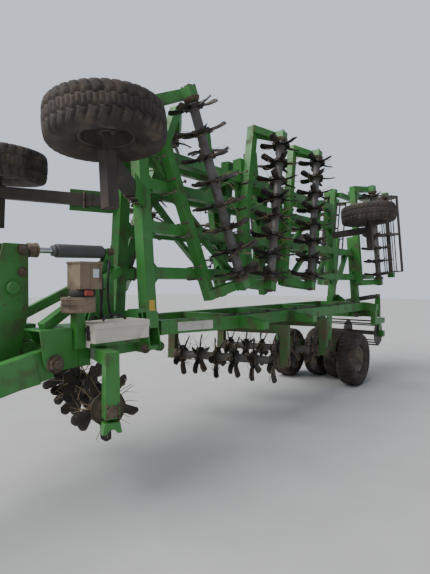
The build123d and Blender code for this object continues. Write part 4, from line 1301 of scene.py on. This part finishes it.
piece("unit_lid", joined([lid] + ribs), TAN, edge=0.004)
label = block([x + 0.028, HOUSING_HIGH[1] + 0.0005, z + 0.085],
              [x + 0.082, HOUSING_HIGH[1] + 0.003, z + 0.15])
piece("unit_label", label, LABEL, edge=0.001)
print("unit housing", (HOUSING_HIGH - HOUSING_LOW).round(3))

# %% [markdown]
# Hoses. Short pressure hoses run from the unit and the mast down to the spine, held at both ends.
# Each is a round section along a smooth path through a few points, slack enough to show a bow.

# %% Hoses on the frame
HOSE_R = 0.011
HOSES = [
    # five points of each as (station, side, height)
    [(2.39, 0.5, 1.76), (2.47, 0.47, 1.75), (2.56, 0.33, 1.52), (2.64, 0.19, 1.35),
     (2.74, 0.12, 1.3)],
    [(2.39, 0.47, 1.73), (2.48, 0.43, 1.74), (2.6, 0.26, 1.56), (2.7, 0.13, 1.37),
     (2.8, 0.08, 1.3)],
    [(2.39, 0.43, 1.7), (2.5, 0.38, 1.69), (2.64, 0.2, 1.62), (2.74, 0.09, 1.64),
     (2.79, 0.044, 1.62)],
    [(2.86, 0.04, 1.86), (2.8, 0.11, 1.88), (2.74, 0.17, 1.7), (2.76, 0.15, 1.45),
     (2.83, 0.13, 1.3)],
    [(2.89, -0.04, 1.86), (2.83, -0.12, 1.89), (2.76, -0.17, 1.68),
     (2.78, -0.15, 1.44), (2.84, -0.13, 1.3)],
    [(2.33, 0.39, 1.34), (2.4, 0.36, 1.33), (2.52, 0.24, 1.39), (2.64, 0.15, 1.38),
     (2.72, 0.06, 1.3)]]
FITTING = revolved([(0, -0.004), (0.017, -0.004), (0.017, 0.03), (0.013, 0.036), (0, 0.036)], 6)

hoses, ends = [], []
for hose in HOSES:
    corners = route(hose)
    hoses.append(pipe(bent(corners, 36), HOSE_R, 10))
    ends += [placed(FITTING, first, frame_of(second - first))
             for first, second in (corners[:2], corners[:-3:-1])]
piece("frame_hoses", joined(hoses), BLACK, sharp=40)
piece("hose_ends", joined(ends), ZINC, sharp=25)
print(len(HOSES), "hoses")

# %% [markdown]
# Steel pipes feed the rear cylinders. A pair lies along the top of the left rail, and a clamp of a
# block and a bolt holds it every 0.7 m. The path of a pipe is straight with turned-down ends.

# %% Pipes on the left rail
PIPE_R = 0.007
PIPE_Y = (0.405, 0.43)
PIPE_S = (4.05, 8.0)
PIPE_Z = FRAME_TOP + 0.004 + PIPE_R
DIP_Z = FRAME_TOP - 0.004
CLAMP_STEP = 0.7

pipes, clamps = [], []
front, rear = PIPE_S
for y in PIPE_Y:
    path = [(front, y, DIP_Z), (front + 0.01, y, PIPE_Z), (front + 0.06, y, PIPE_Z),
            (rear - 0.06, y, PIPE_Z), (rear - 0.01, y, PIPE_Z), (rear, y, DIP_Z)]
    pipes.append(pipe(route(path), PIPE_R, 10))
for station in np.arange(front + 0.2, rear - 0.1, CLAMP_STEP):
    clamps += [
        block(at(station + 0.02, PIPE_Y[0] - 0.012, FRAME_TOP - 0.002),
              at(station - 0.02, PIPE_Y[1] + 0.012, FRAME_TOP + 0.022)),
        placed(bolt(0.009, 0.012), at(station, sum(PIPE_Y) / 2, FRAME_TOP + 0.02))]
piece("rail_pipes", joined(pipes), ZINC, sharp=40)
piece("pipe_clamps", joined(clamps), BLACK, edge=0.002, sharp=25)
print(len(clamps) // 2, "clamps on the rail")

# %% [markdown]
# Straw and mud. Dry stalks wind themselves round the hubs and hang from the paddles. A stalk is a
# three-sided tube with one kink, thrown out from a hub at a fixed seed, so every run is the same.

# %% Straw on the rotors
CENTRE_STALKS = 90
WING_STALKS = 60
STALK_R = [0.0042, 0.0034, 0.0016]
STALK_INSIDE = 0.004
chance = np.random.default_rng(4)


def stalks(stars, count):
    """Each stalk runs through a, a + b and a + b + 0.8 c: its start near a hub, its way out and
    its kink. What reaches past the tips or past the end stars is pulled in to them."""
    middle = (stars - 1) / 2
    spots = (chance.integers(0, stars, count) - middle) * STAR_PITCH
    spots += chance.normal(0, 0.022, count)
    angle = chance.uniform(0, 2 * np.pi, count)
    far = chance.uniform(0.06, 0.1, count)
    start = np.column_stack([far * np.cos(angle), far * np.sin(angle), spots])
    way = angle + chance.normal(0, 1.1, count)
    length = chance.uniform(0.05, 0.19, count)[:, None]
    out = np.column_stack([np.cos(way), np.sin(way), chance.normal(0, 0.35, count)]) * length
    kink = out + chance.normal(0, 0.5, (count, 3)) * length
    points, faces = joined([pipe([a, a + b, a + b + 0.8 * c], STALK_R, 3)
                            for a, b, c in zip(start, out, kink)])
    radius = np.linalg.norm(points[:, :2], axis=1, keepdims=True)
    shrink = np.minimum(1, (ROTOR_R - STALK_INSIDE) / radius)
    end = middle * STAR_PITCH + SHAFT_END - STALK_INSIDE
    return np.column_stack([points[:, :2] * shrink, np.clip(points[:, 2], -end, end)]), faces


for body in ROTORS:
    count = WING_STALKS if section_of(body) else CENTRE_STALKS
    shape = on_joint(stalks(stars_of(body), count), body)
    piece(f"{body}_straw", shape, STRAW, body, sharp=80, merge=False)
print("stalks", CENTRE_STALKS, "and", WING_STALKS)

# %% [markdown]
# The front gang's ends work hardest: a dished guard, caked with mud, closes the gap between the
# last star and the arm, and a notched green foot under it holds the bearing's bolts. The dish is
# a swept profile with a slight wave, radius times (1 + WAVE sin 7a), as if it had been knocked.

# %% Guard and foot of the front gang
FRONT = "rotor_centre_1"
WAVES = 7
WAVE = 0.02
DISH = revolved([(0.07, 0.004), (0.1, -0.004), (0.122, 0.004), (0.134, 0.018), (0.132, 0.026),
                 (0.118, 0.014), (0.098, 0.008), (0.07, 0.016)], 44)
FOOT = plate([(-0.08, -0.058), (-0.08, 0.058), (-0.165, 0.072), (-0.165, 0.04),
              (-0.135, 0.022), (-0.135, -0.022), (-0.165, -0.04), (-0.165, -0.072)], 0.09)

wave = 1 + WAVE * np.sin(WAVES * np.arctan2(DISH[0][:, 1], DISH[0][:, 0]))
guard = (DISH[0] * wave[:, None], DISH[1])
inner = end_of(FRONT)
for word, side in WINGS.items():
    way = side * np.sign(JOINTS[FRONT]["axis"][1])
    shape = on_joint(moved(guard, [0, 0, inner + 0.012]), FRONT, way)
    piece(f"guard_{word}", shape, BEARING)
    shape = on_joint(moved(FOOT, [0, 0, inner + END_BEARING + 0.005]), FRONT, way)
    piece(f"foot_{word}", shape, GREEN, edge=0.004, sharp=25)
print("guards at", round(inner, 3), "m from the middle")

# %% [markdown]
# The parking jack has a capped tube and a crank. The crank is one bent rod with a thick grip.

# %% Jack crank
JACK = (0.62, 0.25, 1.12)
CRANK = [
    # (station, side, height)
    (0.62, 0.25, 1.145), (0.62, 0.25, 1.185), (0.62, 0.29, 1.19), (0.62, 0.4, 1.19)]
GRIP_PLACE = at(JACK[0], 0.396, 1.18)

cap = revolved([(0, 0), (0.06, 0), (0.06, 0.02), (0.048, 0.032), (0, 0.034)], 32)
crank = pipe(bent(route(CRANK), 24), 0.009, 10)
grip = revolved([(0, 0), (0.016, 0), (0.018, 0.02), (0.018, 0.09), (0.014, 0.1), (0, 0.1)], 20)
piece("jack_cap", placed(cap, at(*JACK)), GREEN, "drawbar", sharp=30)
piece("jack_crank", joined([crank, placed(grip, GRIP_PLACE)]), ZINC, "drawbar", sharp=40)
print("jack crank at", at(*JACK).round(3))

# %% [markdown]
# Plates. A pale plate lies on the splayed rail and a small yellow one on the front post. They are
# thin blocks that stand a little proud of the paint, because two faces in one plane flicker.

# %% Blank plates
YELLOW = worn("blank_yellow_label", (720, 470, 40), (620, 420, 60), (300, 240, 100),
              dirty=0.25, rough=0.5)
WHITE = worn("blank_white_plate", (620, 600, 550), (550, 520, 470), (280, 240, 190),
             dirty=0.3, rough=0.5)
RAIL = np.array([(EYE_X - 3.36, 0.3), (EYE_X - 3.99, 0.48)])
PLATE_FROM = 0.1
PLATE_TO = 0.52
PLATE_H = 0.09

way = unit(RAIL[1] - RAIL[0])
outward = np.array([way[1], -way[0]])
first, last = RAIL[0] + way * PLATE_FROM, RAIL[0] + way * PLATE_TO
outline = [first, last, last + outward * 0.003, first + outward * 0.003]
rail_plate = moved(plate(outline, PLATE_H), [0, 0, FRAME_BOTTOM + 0.025])
piece("rail_plate", rail_plate, WHITE, edge=0.001)
label = block(at(3.185, 0.74, WING_BOTTOM - 0.003), at(3.115, 0.64, WING_BOTTOM - 0.0005))
piece("post_label", on_wing(label, 1), YELLOW, "wing_left", edge=0.0008)
print("blank plates: 2")
